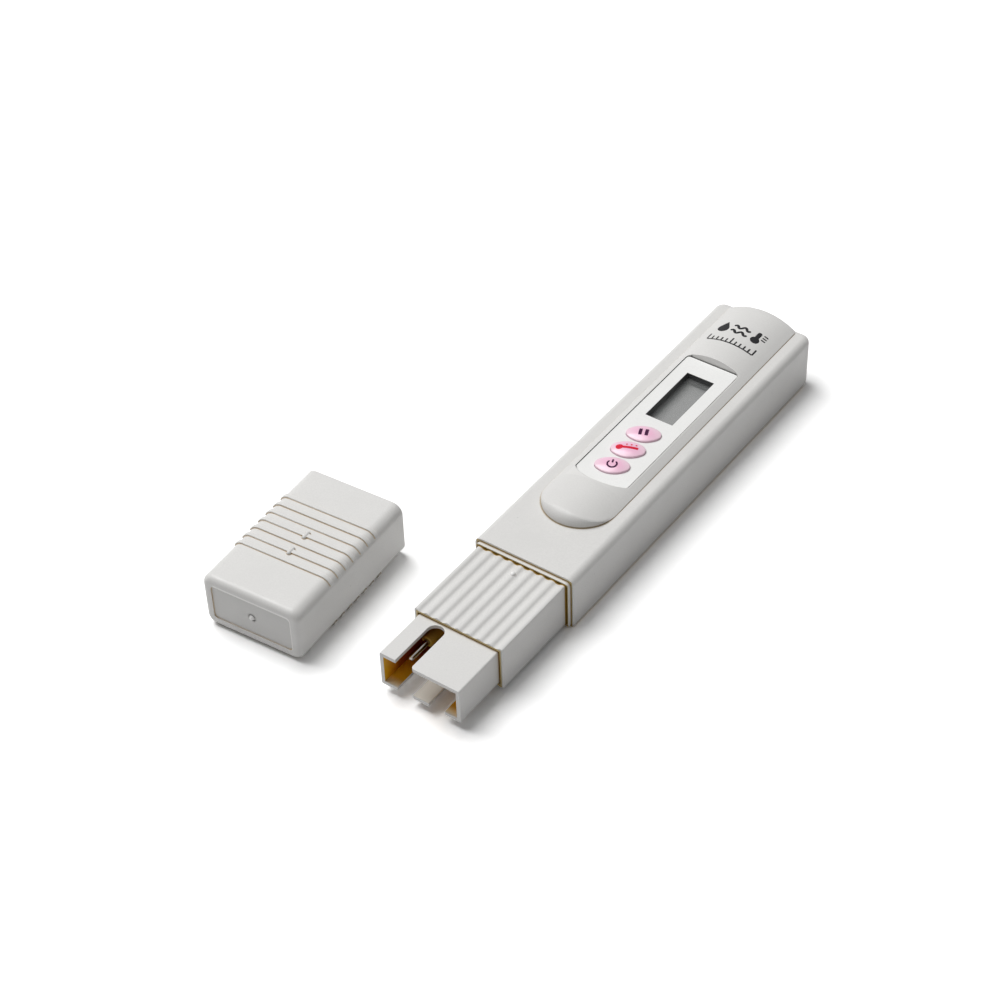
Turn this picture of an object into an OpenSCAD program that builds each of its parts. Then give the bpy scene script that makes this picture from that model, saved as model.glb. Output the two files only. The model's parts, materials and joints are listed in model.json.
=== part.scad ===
// Pen-type digital water tester, with its cap taken off and laid beside it.
// Lengths are in millimetres. Y runs along the tester, from the probe to the closed end.
// Z is up from the flat back, and the origin is the middle of that back face.

/* [Housing] */
// Length from the mouth to the closed end
body_len = 111.8; // [104:0.2:120]
// Width of the housing
body_w = 28.4; // [27.2:0.1:31]
// Height of the housing without its raised panel
body_h = 15.2; // [14.8:0.1:17]
// Thickness of the side walls
side_wall = 1.25; // [1:0.05:1.6]
// Thickness of the back wall
floor_wall = 1; // [0.8:0.05:1.4]
// Thickness of the top wall beside the panel
roof_wall = 1.4; // [1:0.05:1.8]
// Thickness of the closed end
end_wall = 1.8; // [1.4:0.1:2.5]
// Radius of the two long edges on top
top_edge_r = 1.9; // [1.5:0.1:2.6]
// Radius of the two long edges at the back
back_edge_r = 0.6; // [0.6:0.05:1.2]
// Radius of the closed end's upright corners and of the panel's rim there
end_edge_r = 2.7; // [2.7:0.1:3.4]
// Radius of the closed end's lower edge, seen from the side
heel_r = 5.4; // [4:0.1:6]

/* [Raised panel] */
// Width of the arched panel
panel_w = 19.9; // [18:0.1:22]
// Height of the panel's crest above the housing
panel_rise = 3.2; // [2.8:0.1:4]
// Radius of the arch across the panel
arch_r = 18; // [16:0.5:22]
// Distance from the mouth to the panel's rounded end
tongue_y = 14.7; // [10:0.1:20]
// Rounding of the panel's end
tongue_edge_r = 2.8; // [2:0.1:2.9]

/* [Face label] */
// Width of the label
label_w = 15; // [13:0.1:16]
// Thickness of the label
label_t = 0.5; // [0.3:0.05:0.6]
// Height of the label's seat above the housing
label_seat = 0.9; // [0.8:0.05:1.2]
// Distance from the mouth to the label's lower end
label_y = 30; // [26:0.1:32]
// Length of the label
label_len = 55; // [52:0.1:60]
// Radius of the label's lower end
label_end_r = 10; // [8.5:0.1:14]
// Radius of the label's two corners at its upper end
label_corner_r = 0.8; // [0.4:0.1:1.2]
// Gap round the label in its recess
label_gap = 0.25; // [0.15:0.05:0.3]
// How far the recess's end wall leans back
recess_lean = 0.5; // [0.2:0.1:1]

/* [Display] */
// Width of the display opening
window_w = 7.9; // [6:0.1:9]
// Length of the display opening
window_len = 19.8; // [16:0.1:22]
// Distance from the mouth to the middle of the opening
window_y = 69.1; // [68:0.1:71]
// Thickness of the clear pane
pane_t = 0.6; // [0.4:0.1:1]
// Width of the ledge that carries the pane
pane_ledge = 0.4; // [0.2:0.05:0.6]
// Thickness of that ledge
pane_ledge_t = 0.6; // [0.4:0.1:1]
// Gap round the pane
pane_gap = 0.05; // [0.05:0.05:0.15]
// Width of the display glass
glass_w = 14; // [12:0.1:15]
// Length of the display glass
glass_len = 25; // [23:0.1:25.6]
// Thickness of the display glass
glass_t = 1.9; // [1.4:0.1:2.2]
// Gap between the glass and the housing's roof
glass_gap = 0.45; // [0.35:0.05:0.8]
// Wall of the frame round the glass
frame_wall = 0.9; // [0.6:0.05:1]
// Gap between the glass and its frame
frame_gap = 0.1; // [0.05:0.05:0.2]
// Width of the rubber contact strips
zebra_w = 1.6; // [1:0.1:2]
// Thickness of the reflecting film behind the glass
film_t = 0.2; // [0.1:0.05:0.3]
// Diameter of the frame's pegs
peg_d = 1.2; // [0.8:0.1:1.4]
// Radial gap round a peg in the board
peg_fit = 0.05; // [0.02:0.01:0.1]

/* [Keys] */
// Half length of a key
key_a = 4.45; // [4:0.05:4.8]
// Half width of a key
key_b = 2.95; // [2.6:0.05:3.05]
// Radius of a key's two ends
key_end_r = 1.9; // [1.6:0.05:2.2]
// Turn of the keys on the label, in degrees
key_turn = 22; // [10:1:30]
// Distance from the mouth to the first key
key_y = 38; // [37.6:0.1:38.6]
// Distance from one key to the next
key_pitch = 7.1; // [6.9:0.05:7.2]
// Height of a key's crown above the label
key_rise = 1.1; // [1:0.05:1.4]
// Radius of the crown along a key
crown_long_r = 15; // [14:0.5:22]
// Radius of the crown across a key
crown_short_r = 6.5; // [6:0.1:9]
// How far a key travels
key_travel = 0.35; // [0.2:0.05:0.5]
// Length of the two ears that hold a key under the label
key_ear = 0.7; // [0.4:0.05:1]
// Width of those ears
key_ear_w = 2.6; // [2:0.1:3.4]
// Thickness of those ears
key_ear_t = 0.5; // [0.4:0.05:0.6]
// Gap round a key in the label
key_gap = 0.1; // [0.08:0.01:0.15]
// Diameter of a key's stem
stem_d = 3; // [2.4:0.1:3.4]
// Gap round a stem in its bore
stem_fit = 0.06; // [0.04:0.01:0.1]

/* [Mouth] */
// Width of the housing's rim at the sides of the mouth
rim_side = 0.55; // [0.4:0.05:0.7]
// Width of the rim on top
rim_top = 0.7; // [0.5:0.05:0.9]
// Width of the rim at the back
rim_back = 0.3; // [0.3:0.05:0.5]
// Depth of the step in the mouth
mouth_depth = 2.5; // [2:0.1:4]
// Gap between the collar and the rim
collar_fit = 0.2; // [0.1:0.05:0.25]
// Thickness of the collar's wall
collar_wall = 0.4; // [0.3:0.05:0.5]
// How far the collar stands out of the mouth
collar_out = 0.9; // [0.4:0.1:1.5]
// Thickness of the lip inside the collar
collar_lip = 1.3; // [1:0.1:1.8]

/* [Probe neck] */
// Length of the neck in front of the collar
neck_len = 25.6; // [22:0.2:30]
// Gap between neck and collar at the sides
neck_side_gap = 0.5; // [0.35:0.05:0.6]
// Gap between neck and collar over the ribs
neck_rib_gap = 0.1; // [0.05:0.05:0.2]
// Wall of the neck at the sides
neck_wall = 0.85; // [0.7:0.05:1]
// Wall of the neck over and under, ribs included
neck_rib_wall = 1; // [0.8:0.05:1.2]
// Distance from one rib to the next
rib_pitch = 3; // [2.8:0.05:3.05]
// Number of ribs on each face
rib_count = 9; // [7:2:9]
// Depth of the hollows between the ribs
rib_depth = 0.5; // [0.3:0.05:0.55]
// Radius of the neck's long edges
neck_edge_r = 0.4; // [0.3:0.1:1]
// Rounding of the neck's front end
neck_end_r = 0.35; // [0.2:0.05:0.5]
// Length of the plain part inside the housing
spigot_len = 14; // [12:0.5:18]
// Gap between that part and the housing
spigot_fit = 0.15; // [0.1:0.05:0.2]
// Diameter of the knob that clicks into the cap
nub_d = 1.3; // [1:0.1:1.6]
// Distance of that knob from the collar
nub_y = 3.6; // [2.5:0.1:6]
// How deep the middle of that knob lies under the ribs' tops
nub_sink = 0.15; // [0.1:0.05:0.3]

/* [Probe] */
// Length of the shroud in front of the neck
shroud_out = 15.1; // [12:0.1:18]
// Gap between shroud and neck
shroud_gap = 0.35; // [0.2:0.05:0.4]
// Wall of the shroud
shroud_wall = 1.05; // [0.8:0.05:1.2]
// Radius of the shroud's long edges
shroud_edge_r = 0.4; // [0.3:0.1:1]
// Length of the shroud inside the neck
shroud_root = 14.5; // [12:0.5:16]
// Length of the seat that holds the shroud in the neck
shroud_seat = 10; // [6:0.5:11]
// Gap at that seat
seat_fit = 0.05; // [0.02:0.01:0.1]
// Width of the slots in the shroud
slot_w = 4.5; // [3.6:0.1:5]
// Distance of the slots from the middle
slot_x = 4.55; // [4:0.05:5]
// Distance from the neck to the slots' closed ends
slot_margin = 0.5; // [0.3:0.1:2]
// Rounding of the slots' corners at the tip
slot_lip_r = 0.8; // [0.3:0.1:1]
// Diameter of the electrode pins
pin_d = 1.6; // [1.2:0.1:2]
// Distance of the pins from the shroud's inner sides
pin_inset = 2.9; // [2.4:0.1:3.6]
// How far the pins stand back from the shroud's tip
pin_back = 5.8; // [4.5:0.1:7]
// Free length of a pin in front of its boss
pin_free = 7; // [5:0.1:8]
// Diameter of the bosses round the pins
boss_d = 3; // [2.6:0.1:3.6]
// Length of the carrier block
carrier_len = 9; // [6:0.5:10]
// Gap round the carrier block
carrier_fit = 0.05; // [0.02:0.01:0.1]
// Radial gap round a pin
pin_fit = 0.02; // [0.01:0.01:0.05]
// Diameter of the temperature sensor
sensor_d = 2.2; // [1.6:0.1:3]
// How far the sensor stands back from the shroud's tip
sensor_back = 10.5; // [8:0.1:12]
// Diameter of the sensor's two leads
lead_d = 0.45; // [0.3:0.05:0.6]
// Distance of those leads from the middle
lead_x = 0.55; // [0.4:0.05:0.7]

/* [Circuit board] */
// Thickness of the board
board_t = 1.2; // [1:0.1:1.6]
// Gap between the board's edge and the probe neck
board_gap = 0.2; // [0.1:0.05:0.4]
// Gap between the board's end and the housing
board_end_gap = 4; // [2:0.5:8]
// Gap between the board and the shroud
board_front_gap = 0.5; // [0.3:0.1:1]
// Length of the pins' tails in the board's notches
tail_len = 5; // [3:0.5:6]
// Gap round a tail in its notch
tail_gap = 0.1; // [0.05:0.05:0.2]
// Width of the guides along the housing
guide_w = 1.8; // [1.4:0.1:2]
// Height of those guides
guide_h = 1.2; // [0.8:0.1:2]
// Gap between the board and its guides
guide_gap = 0.1; // [0.05:0.05:0.2]
// Distance of the board's screws from the middle
screw_x = 8.5; // [7:0.1:9]
// Distance of the screws from the mouth
screw_y = 9; // [7:0.5:11]
// Diameter of the screws' shanks
screw_d = 1.8; // [1.6:0.1:2.2]
// Diameter of the screws' heads
screw_head_d = 3.6; // [3:0.1:4]
// Height of the screws' heads
screw_head_h = 1.2; // [0.8:0.1:1.6]
// Diameter of the posts under the board
post_d = 4; // [3.4:0.1:4.6]
// Radial gap round the screws in their posts
screw_fit = 0.05; // [0.02:0.01:0.1]
// Radial gap round the screws in the board
board_hole_gap = 0.1; // [0.05:0.05:0.3]
// Width of the slot in a screw's head
screw_slot_w = 0.6; // [0.4:0.1:0.8]

/* [Switches] */
// Width of a switch
switch_w = 6; // [5:0.1:6.2]
// Height of a switch with its plunger
switch_h = 5; // [4.6:0.1:5.2]
// Height of a switch's base
switch_base_h = 3.2; // [2.6:0.1:3.4]
// Thickness of a switch's cover
switch_cover_t = 0.3; // [0.2:0.05:0.4]
// Diameter of a plunger
plunger_d = 3.2; // [2.6:0.1:3.6]
// Gap round a plunger
plunger_fit = 0.08; // [0.05:0.01:0.1]
// Gap between a plunger and the housing's roof
plunger_gap = 0.3; // [0.2:0.05:0.35]
// Gap between a key's stem and its plunger
stem_gap = 0.05; // [0.02:0.01:0.1]

/* [Power] */
// Diameter of a button cell
cell_d = 11.6; // [11:0.1:12]
// Height of a button cell
cell_h = 5.4; // [5:0.1:5.5]
// Gap round a cell in its holder
cell_gap = 0.15; // [0.1:0.05:0.3]
// Thinnest wall of the holder
holder_wall = 0.9; // [0.6:0.1:1.2]
// Distance from the mouth to the middle of the holder
holder_y = 35; // [32:0.5:38]
// How far the cells stand out under the holder
cell_out = 0.55; // [0.3:0.05:1]
// Rounding of a cell's rims
cell_rim_r = 0.45; // [0.3:0.05:0.6]
// Thickness of the contact springs
contact_t = 0.25; // [0.2:0.05:0.3]
// Gap round the contacts in the holder
contact_gap = 0.05; // [0.03:0.01:0.1]
// Length of the contact beside the cells
side_contact_len = 23; // [18:0.5:24]
// Height of that contact
side_contact_h = 2.7; // [2:0.1:3.5]
// Diameter of the contact discs over the cells
disc_d = 5.8; // [4:0.1:8]
// Width of the strip between those discs
strip_w = 2.9; // [2:0.1:3.8]

/* [Calibration trimmer] */
// Width of the trimmer
trimmer_w = 6.5; // [5:0.1:7]
// Height of the trimmer's body
trimmer_h = 4; // [3:0.1:4.5]
// Distance from the mouth to the trimmer
trimmer_y = 92; // [86:0.5:96]
// Diameter of the rotor
rotor_d = 4; // [3:0.1:4.6]
// How far the rotor stands out of its body
rotor_out = 0.7; // [0.4:0.1:0.9]
// How deep the rotor sits in its body
rotor_depth = 1.5; // [1:0.1:2]
// Radial gap round the rotor
rotor_fit = 0.05; // [0.03:0.01:0.1]
// Width of the slot in the rotor
rotor_slot_w = 0.8; // [0.5:0.1:1]
// Diameter of the hole in the back
access_d = 3; // [2.4:0.1:3.6]

/* [Electronics] */
// Radius of the chip's resin blob
blob_r = 4.5; // [3:0.1:6]
// Height of the blob
blob_h = 1.6; // [1:0.1:2]
// Distance from the mouth to the chip
chip_y = 96; // [92:0.5:98]
// Length of a chip part
chip_part_len = 2; // [1.6:0.1:2.4]
// Width of a chip part
chip_part_w = 1.25; // [0.8:0.05:1.4]
// Height of a chip part
chip_part_h = 0.6; // [0.4:0.1:1]
// Distance from one chip part to the next
chip_part_pitch = 1.9; // [1.6:0.1:2.2]
// Number of chip parts on each side of the blob
chip_part_count = 5; // [1:1:5]

/* [Cap] */
// Wall of the cap at the sides
cap_side_wall = 1.35; // [1.1:0.05:1.6]
// Wall of the cap over and under
cap_top_wall = 1.25; // [1:0.05:1.5]
// Thickness of the closed end
cap_end_wall = 1.35; // [1.1:0.05:2]
// Gap between cap and neck at the sides
cap_side_fit = 0.15; // [0.1:0.05:0.25]
// Gap between cap and neck over the ribs
cap_rib_fit = 0.1; // [0.05:0.05:0.2]
// Gap between the cap's closed end and the shroud's tip
cap_tip_gap = 2; // [0.5:0.1:4]
// Radius of the cap's long edges
cap_edge_r = 2.8; // [2:0.1:3.2]
// Radius of the long edges inside the cap
cap_inner_r = 0.5; // [0.3:0.05:0.6]
// Rounding of the closed end
cap_end_r = 1.6; // [0.5:0.1:2]
// Number of grip ribs on each face
grip_count = 7; // [3:1:8]
// Distance from one grip rib to the next
grip_pitch = 3.15; // [2.8:0.05:3.6]
// Distance from the closed end to the first rib
grip_start = 14.1; // [10:0.1:16]
// Height of a grip rib
grip_h = 0.45; // [0.3:0.05:0.6]
// Width of a grip rib
grip_w = 1.2; // [0.8:0.05:1.6]
// Bevel along a grip rib's corners
grip_bevel = 0.12; // [0.05:0.01:0.2]
// How deep a rib's root lies in the wall
grip_root = 0.3; // [0.2:0.05:0.5]
// How far round the cap's long edges a rib runs, in degrees
grip_angle = 68; // [45:1:80]
// Margin round the shallow panel in the closed end
end_panel_margin = 2.6; // [2.2:0.1:3.4]
// Depth of that panel
end_panel_depth = 0.35; // [0.2:0.05:0.5]
// Corner radius of that panel
end_panel_r = 1; // [0.5:0.1:1.5]
// Diameter of the moulding gate's dimple in that panel
gate_d = 2.2; // [1.6:0.1:3]
// Depth of that dimple
gate_depth = 0.35; // [0.2:0.05:0.4]
// Diameter of the gate's stub in that dimple
stub_d = 0.9; // [0.6:0.1:1.2]
// Length of the small knobs on two ribs
knob_len = 2.8; // [2:0.1:3.4]
// Diameter of those knobs
knob_d = 1.2; // [1:0.1:1.4]
// How far those knobs stand out of the cap's face
knob_rise = 0.7; // [0.65:0.05:0.9]
// Place of the cap across the tester
cap_x = -47.4; // [-56:0.1:-40]
// Place of the cap's middle, measured from the mouth
cap_y = -24.6; // [-40:0.1:20]
// Turn of the cap on the table, in degrees
cap_yaw = 3.7; // [0:0.1:10]

/* [Hidden] */
$fn = 96;
// Small overrun that lets a cut pass clean through
eps = 0.5;
// How far the tongue's rounding starts above the arch, which it then meets in a soft edge
tongue_lift = 0.05;
// How far the neck's outline stands clear of the ribs' tops, so that it cuts only their ends
rib_lift = 0.05;
// How deep the ribs and hollows are rooted in the neck
rib_root = 0.3;

// Heights, worked from the back face up
roof_z = body_h - roof_wall;
crest_z = body_h + panel_rise;
seat_z = body_h + label_seat;
label_z = seat_z + label_t;
cavity_w = body_w - 2 * side_wall;
cavity_h = roof_z - floor_wall;
cavity_z = floor_wall + cavity_h / 2;

// The mouth, worked from the housing inwards
mouth_w = body_w - 2 * rim_side;
mouth_h = body_h - rim_top - rim_back;
axis_z = rim_back + mouth_h / 2;
collar_w = mouth_w - 2 * collar_fit;
collar_h = mouth_h - 2 * collar_fit;
collar_in_w = collar_w - 2 * collar_wall;
collar_in_h = collar_h - 2 * collar_wall;
neck_w = collar_in_w - 2 * neck_side_gap;
neck_h = collar_in_h - 2 * neck_rib_gap;
spigot_w = cavity_w - 2 * spigot_fit;
spigot_h = cavity_h - 2 * spigot_fit;
mouth_r = top_edge_r - rim_side;
mouth_back_r = back_edge_r - rim_back;
collar_r = mouth_r - collar_fit;
collar_in_r = collar_r - collar_wall;
wave_r = (rib_pitch ^ 2 / 4 + rib_depth ^ 2) / (4 * rib_depth);
lip_y = mouth_depth - collar_lip;
spigot_end = mouth_depth + spigot_len;
neck_y = -collar_out - neck_len;

// The probe, worked from the neck inwards
bore_w = neck_w - 2 * neck_wall;
bore_h = neck_h - 2 * neck_rib_wall;
shroud_w = bore_w - 2 * shroud_gap;
shroud_h = bore_h - 2 * shroud_gap;
shroud_in_w = shroud_w - 2 * shroud_wall;
shroud_in_h = shroud_h - 2 * shroud_wall;
tip_y = neck_y - shroud_out;
root_y = neck_y + shroud_root;
slot_end_y = neck_y - slot_margin;
pin_x = shroud_in_w / 2 - pin_inset;
pin_tip_y = tip_y + pin_back;
boss_y = pin_tip_y + pin_free;
carrier_y = root_y - carrier_len;
sensor_y = tip_y + sensor_back;

// The board and what stands on it, worked from the roof down
plunger_z = roof_z - plunger_gap;
stem_z = plunger_z + stem_gap;
board_top = plunger_z - switch_h;
board_z = board_top - board_t;
board_w = bore_w - 2 * board_gap;
board_y = root_y + board_front_gap;
board_end = body_len - end_wall - board_end_gap;
tail_y = board_y + tail_len;
glass_top = roof_z - glass_gap;
glass_z = glass_top - glass_t;
frame_w = glass_w + 2 * (frame_gap + frame_wall);
frame_len = glass_len + 2 * (frame_gap + frame_wall);
frame_h = glass_top - board_top;
peg_x = frame_w / 2 - frame_wall / 2 - peg_d / 2;
peg_dy = frame_len / 2 - peg_d;
zebra_x = glass_w / 2 - zebra_w / 2 - frame_wall;
cell_pitch = cell_d + 2 * cell_gap + holder_wall;
holder_w = cell_d + 2 * (cell_gap + contact_t + holder_wall);
holder_len = 2 * cell_d + 4 * cell_gap + 3 * holder_wall;
cell_top = board_z - contact_t;
cell_z = cell_top - cell_h;
contact_x = cell_d / 2 + contact_gap;
rotor_z = board_z - trimmer_h - rotor_out;

// The cap, worked from the neck outwards
cap_in_w = neck_w + 2 * cap_side_fit;
cap_in_h = neck_h + 2 * cap_rib_fit;
cap_w = cap_in_w + 2 * cap_side_wall;
cap_h = cap_in_h + 2 * cap_top_wall;
cap_depth = neck_len + shroud_out + cap_tip_gap;
cap_len = cap_depth + cap_end_wall;

// Carries what is drawn from the mouth's plane to its place on the tester
module from_mouth() {
  translate([0, -body_len / 2, 0]) children();
}

// Extrudes a drawing of X and Z from y0 to y1
module along_y(y0, y1) {
  translate([0, y1, 0]) rotate([90, 0, 0]) linear_extrude(y1 - y0) children();
}

// Extrudes a drawing of Y and Z from x0 to x1
module along_x(x0, x1) {
  translate([x0, 0, 0]) rotate([90, 0, 90]) linear_extrude(x1 - x0) children();
}

// Extrudes a plan from z0 to z1
module along_z(z0, z1) {
  translate([0, 0, z0]) linear_extrude(z1 - z0) children();
}

// Rectangle standing on the X axis, with one radius on top and one below
module rounded_rect(w, h, r_top, r_low) {
  translate([-w / 2, r_low]) square([w, h - r_top - r_low]);
  translate([-w / 2 + r_low, 0]) square([w - 2 * r_low, r_low]);
  translate([-w / 2 + r_top, h - r_top]) square([w - 2 * r_top, r_top]);
  for (side = [-1, 1]) {
    translate([side * (w / 2 - r_low), r_low]) circle(r_low);
    translate([side * (w / 2 - r_top), h - r_top]) circle(r_top);
  }
}

// The same rectangle centred on a height
module centred_rect(w, h, r, z) {
  translate([0, z - h / 2]) rounded_rect(w, h, r, r);
}

// Plain rectangle centred on a height
module plain_rect(w, h, z) {
  translate([-w / 2, z - h / 2]) square([w, h]);
}

// Rectangle from the origin whose two corners at the start are rounded
module nosed_rect(len, h, r) {
  translate([r, 0]) square([len - r, h]);
  translate([0, r]) square([len, h - 2 * r]);
  translate([r, r]) circle(r);
  translate([r, h - r]) circle(r);
}

// Right half of a rounded rectangle that is 2 r wide
module half_rect(r, h, r_top, r_low) {
  intersection() {
    rounded_rect(2 * r, h, r_top, r_low);
    translate([0, -eps]) square([2 * r, h + 2 * eps]);
  }
}

// Strip from x = 0 to r whose two corners at the start are rounded with the same r
module rim_strip(h, r) {
  intersection() {
    union() {
      translate([0, r]) square([2 * r, h - 2 * r]);
      translate([r, r]) circle(r);
      translate([r, h - r]) circle(r);
    }
    translate([0, -eps]) square([r, h + 2 * eps]);
  }
}

// Half section of a round corner: a disc of radius r_out whose upper rim is rounded with r
module rim_corner(r_out, r) {
  intersection() {
    union() {
      square([r_out - r, r]);
      translate([r_out - r, 0]) circle(r);
    }
    square([2 * r_out, 2 * r]);
  }
}

// Oval drawn with four arcs, grown by a margin on all sides
module oval(a, b, r_end, grow) {
  r_side = ((a - r_end) ^ 2 + b ^ 2 - r_end ^ 2) / (2 * (b - r_end));
  meet_x = (a - r_end) * (r_side + grow) / (r_side - r_end);
  intersection() {
    translate([0, b - r_side]) circle(r_side + grow);
    translate([0, r_side - b]) circle(r_side + grow);
    translate([-meet_x, -b - grow - eps]) square([2 * meet_x, 2 * (b + grow + eps)]);
  }
  for (side = [-1, 1]) {
    translate([side * (a - r_end), 0]) circle(r_end + grow);
  }
}

// Outline of the label, grown by a margin on all sides
module label_plan(grow) {
  centre_y = label_y + label_end_r;
  plan_w = label_w + 2 * grow;
  intersection() {
    translate([-plan_w / 2, label_y + label_len + grow]) rotate(-90)
      nosed_rect(label_len + 2 * grow + eps, plan_w, label_corner_r + grow);
    union() {
      translate([0, centre_y]) circle(label_end_r + grow);
      translate([-label_w, centre_y]) square([2 * label_w, label_len]);
    }
  }
}

// Outline of the display opening, grown by a margin on all sides
module window_plan(grow) {
  translate([-window_w / 2 - grow, window_y - window_len / 2 - grow])
    square([window_w + 2 * grow, window_len + 2 * grow]);
}

// Outline of a key, grown by a margin on all sides
module key_plan(grow) {
  rotate(key_turn) oval(key_a, key_b, key_end_r, grow);
}

// The same outline with the two ears at its ends
module ear_plan(grow) {
  reach = key_a + key_ear + grow;
  key_plan(grow);
  rotate(key_turn) intersection() {
    oval(key_a, key_b, key_end_r, key_ear + grow);
    translate([-reach, -key_ear_w / 2 - grow]) square([2 * reach, key_ear_w + 2 * grow]);
  }
}

// Places children at one key: 0 for power, 1 for temperature, 2 for hold
module at_key(index) {
  translate([0, key_y + index * key_pitch, 0]) children();
}

// Side view of the sleeve, rounded at the lower edge of the closed end
module heel_view() {
  square([body_len - heel_r, body_h]);
  translate([0, heel_r]) square([body_len, body_h - heel_r]);
  translate([body_len - heel_r, heel_r]) circle(heel_r);
}

// Sleeve whose section also runs round the upright corners of the closed end
module sleeve_block() {
  inner_x = body_w / 2 - end_edge_r;
  inner_y = body_len - end_edge_r;
  intersection() {
    union() {
      along_y(0, inner_y) rounded_rect(body_w, body_h, top_edge_r, back_edge_r);
      along_x(-inner_x, inner_x)
        translate([inner_y, 0]) half_rect(end_edge_r, body_h, top_edge_r, back_edge_r);
      for (side = [0, 1]) {
        mirror([side, 0, 0]) translate([inner_x, inner_y, 0])
          rotate_extrude(angle = 90) half_rect(end_edge_r, body_h, top_edge_r, back_edge_r);
      }
    }
    along_x(-body_w, body_w) heel_view();
  }
}

// Housing: sleeve and raised panel, before anything is cut
module housing_outside() {
  sleeve_block();
  intersection() {
    translate([0, body_len, crest_z - arch_r]) rotate([90, 0, 0]) rotate_extrude() {
      translate([0, end_edge_r]) square([arch_r, body_len]);
      square([arch_r - end_edge_r, body_len]);
      translate([arch_r - end_edge_r, end_edge_r]) circle(end_edge_r);
    }
    panel_block();
  }
}

// Upright block over the panel's plan, with the tongue's rounded end
module panel_block() {
  tongue_r = panel_w / 2;
  base_z = roof_z + roof_wall / 2;
  top_z = crest_z + tongue_lift;
  round_z = top_z - tongue_edge_r;
  translate([-tongue_r, tongue_y + tongue_r, base_z])
    cube([panel_w, body_len - tongue_y - tongue_r, top_z - base_z]);
  translate([0, tongue_y + tongue_r, 0]) rotate_extrude() {
    translate([0, base_z]) square([tongue_r, round_z - base_z]);
    translate([0, base_z]) square([tongue_r - tongue_edge_r, top_z - base_z]);
    translate([tongue_r - tongue_edge_r, round_z]) circle(tongue_edge_r);
  }
}

// Recess for the label, whose end wall leans back
module label_recess() {
  end_y = label_y + label_len + label_gap;
  along_z(seat_z, crest_z + eps) label_plan(label_gap);
  along_x(label_corner_r - label_w / 2, label_w / 2 - label_corner_r)
    polygon([[end_y - eps, seat_z], [end_y, seat_z], [end_y + recess_lean, crest_z], [end_y - eps, crest_z]]);
}

// Opening for the display, with the ledge that carries the pane
module window_cut() {
  along_z(roof_z - eps, seat_z + eps) window_plan(-pane_ledge);
  along_z(roof_z + pane_ledge_t, seat_z + eps) window_plan(pane_gap);
}

// Seats for the three keys and bores for their stems
module key_cuts() {
  ear_z = seat_z - key_ear_t - key_travel - stem_gap - 2 * key_gap;
  for (index = [0:2]) at_key(index) {
    along_z(ear_z, seat_z + eps) ear_plan(key_gap);
    translate([0, 0, roof_z - eps]) cylinder(d = stem_d + 2 * stem_fit, h = seat_z - roof_z);
  }
}

module body_shell() {
  color("#d9d7d2") from_mouth() {
    difference() {
      housing_outside();
      along_y(-eps, body_len - heel_r) plain_rect(cavity_w, cavity_h, cavity_z);
      along_y(-eps, body_len - end_wall) intersection() {
        plain_rect(cavity_w, cavity_h, cavity_z);
        translate([-body_w, heel_r / 2]) square([2 * body_w, body_h]);
      }
      along_y(-eps, mouth_depth)
        translate([0, rim_back]) rounded_rect(mouth_w, mouth_h, mouth_r, mouth_back_r);
      label_recess();
      window_cut();
      key_cuts();
      translate([0, trimmer_y, -eps]) cylinder(d = access_d, h = floor_wall + 2 * eps);
    }
    for (side = [0, 1]) {
      mirror([side, 0, 0]) along_y(spigot_end + spigot_fit, body_len - end_wall / 2)
        translate([cavity_w / 2 - guide_w, board_z - guide_gap - guide_h])
          square([guide_w + side_wall / 2, guide_h]);
    }
  }
}

module face_label() {
  color("#f4f3ef") from_mouth() difference() {
    along_z(seat_z, label_z) label_plan(0);
    along_z(seat_z - eps, label_z + eps) window_plan(0);
    for (index = [0:2]) at_key(index)
      along_z(seat_z - eps, label_z + eps) key_plan(key_gap);
  }
}

module display_window() {
  color("#dfe6e6", 0.4) from_mouth()
    along_z(roof_z + pane_ledge_t, roof_z + pane_ledge_t + pane_t) window_plan(0);
}

// Key with a pillow-shaped crown, two ears under the label and a stem
module key(index) {
  crown_z = label_z + key_rise;
  ear_top = seat_z - stem_gap;
  color("#f2b8d0") from_mouth() at_key(index) {
    intersection() {
      along_z(ear_top - eps, crown_z + eps) key_plan(0);
      translate([0, 0, crown_z - crown_long_r]) rotate([90, 0, key_turn]) rotate_extrude() {
        translate([crown_long_r - crown_short_r, 0]) intersection() {
          circle(crown_short_r);
          translate([0, -crown_short_r]) square([crown_short_r, 2 * crown_short_r]);
        }
        translate([0, -crown_short_r]) square([crown_long_r - crown_short_r, 2 * crown_short_r]);
      }
    }
    along_z(ear_top - key_ear_t, ear_top) ear_plan(0);
    translate([0, 0, stem_z]) cylinder(d = stem_d, h = ear_top - stem_z - eps / 2);
  }
}

module key_power() {
  key(0);
}

module key_temp() {
  key(1);
}

module key_hold() {
  key(2);
}

module mouth_collar() {
  color("#dedcd7") from_mouth() difference() {
    along_y(-collar_out, mouth_depth)
      translate([0, axis_z - collar_h / 2]) rounded_rect(collar_w, collar_h, collar_r, mouth_back_r);
    along_y(-collar_out - eps, lip_y)
      translate([0, axis_z - collar_in_h / 2]) rounded_rect(collar_in_w, collar_in_h, collar_in_r, mouth_back_r);
    along_y(lip_y - eps, mouth_depth + eps)
      plain_rect(spigot_w + 2 * seat_fit, spigot_h + 2 * seat_fit, cavity_z);
  }
}

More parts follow.
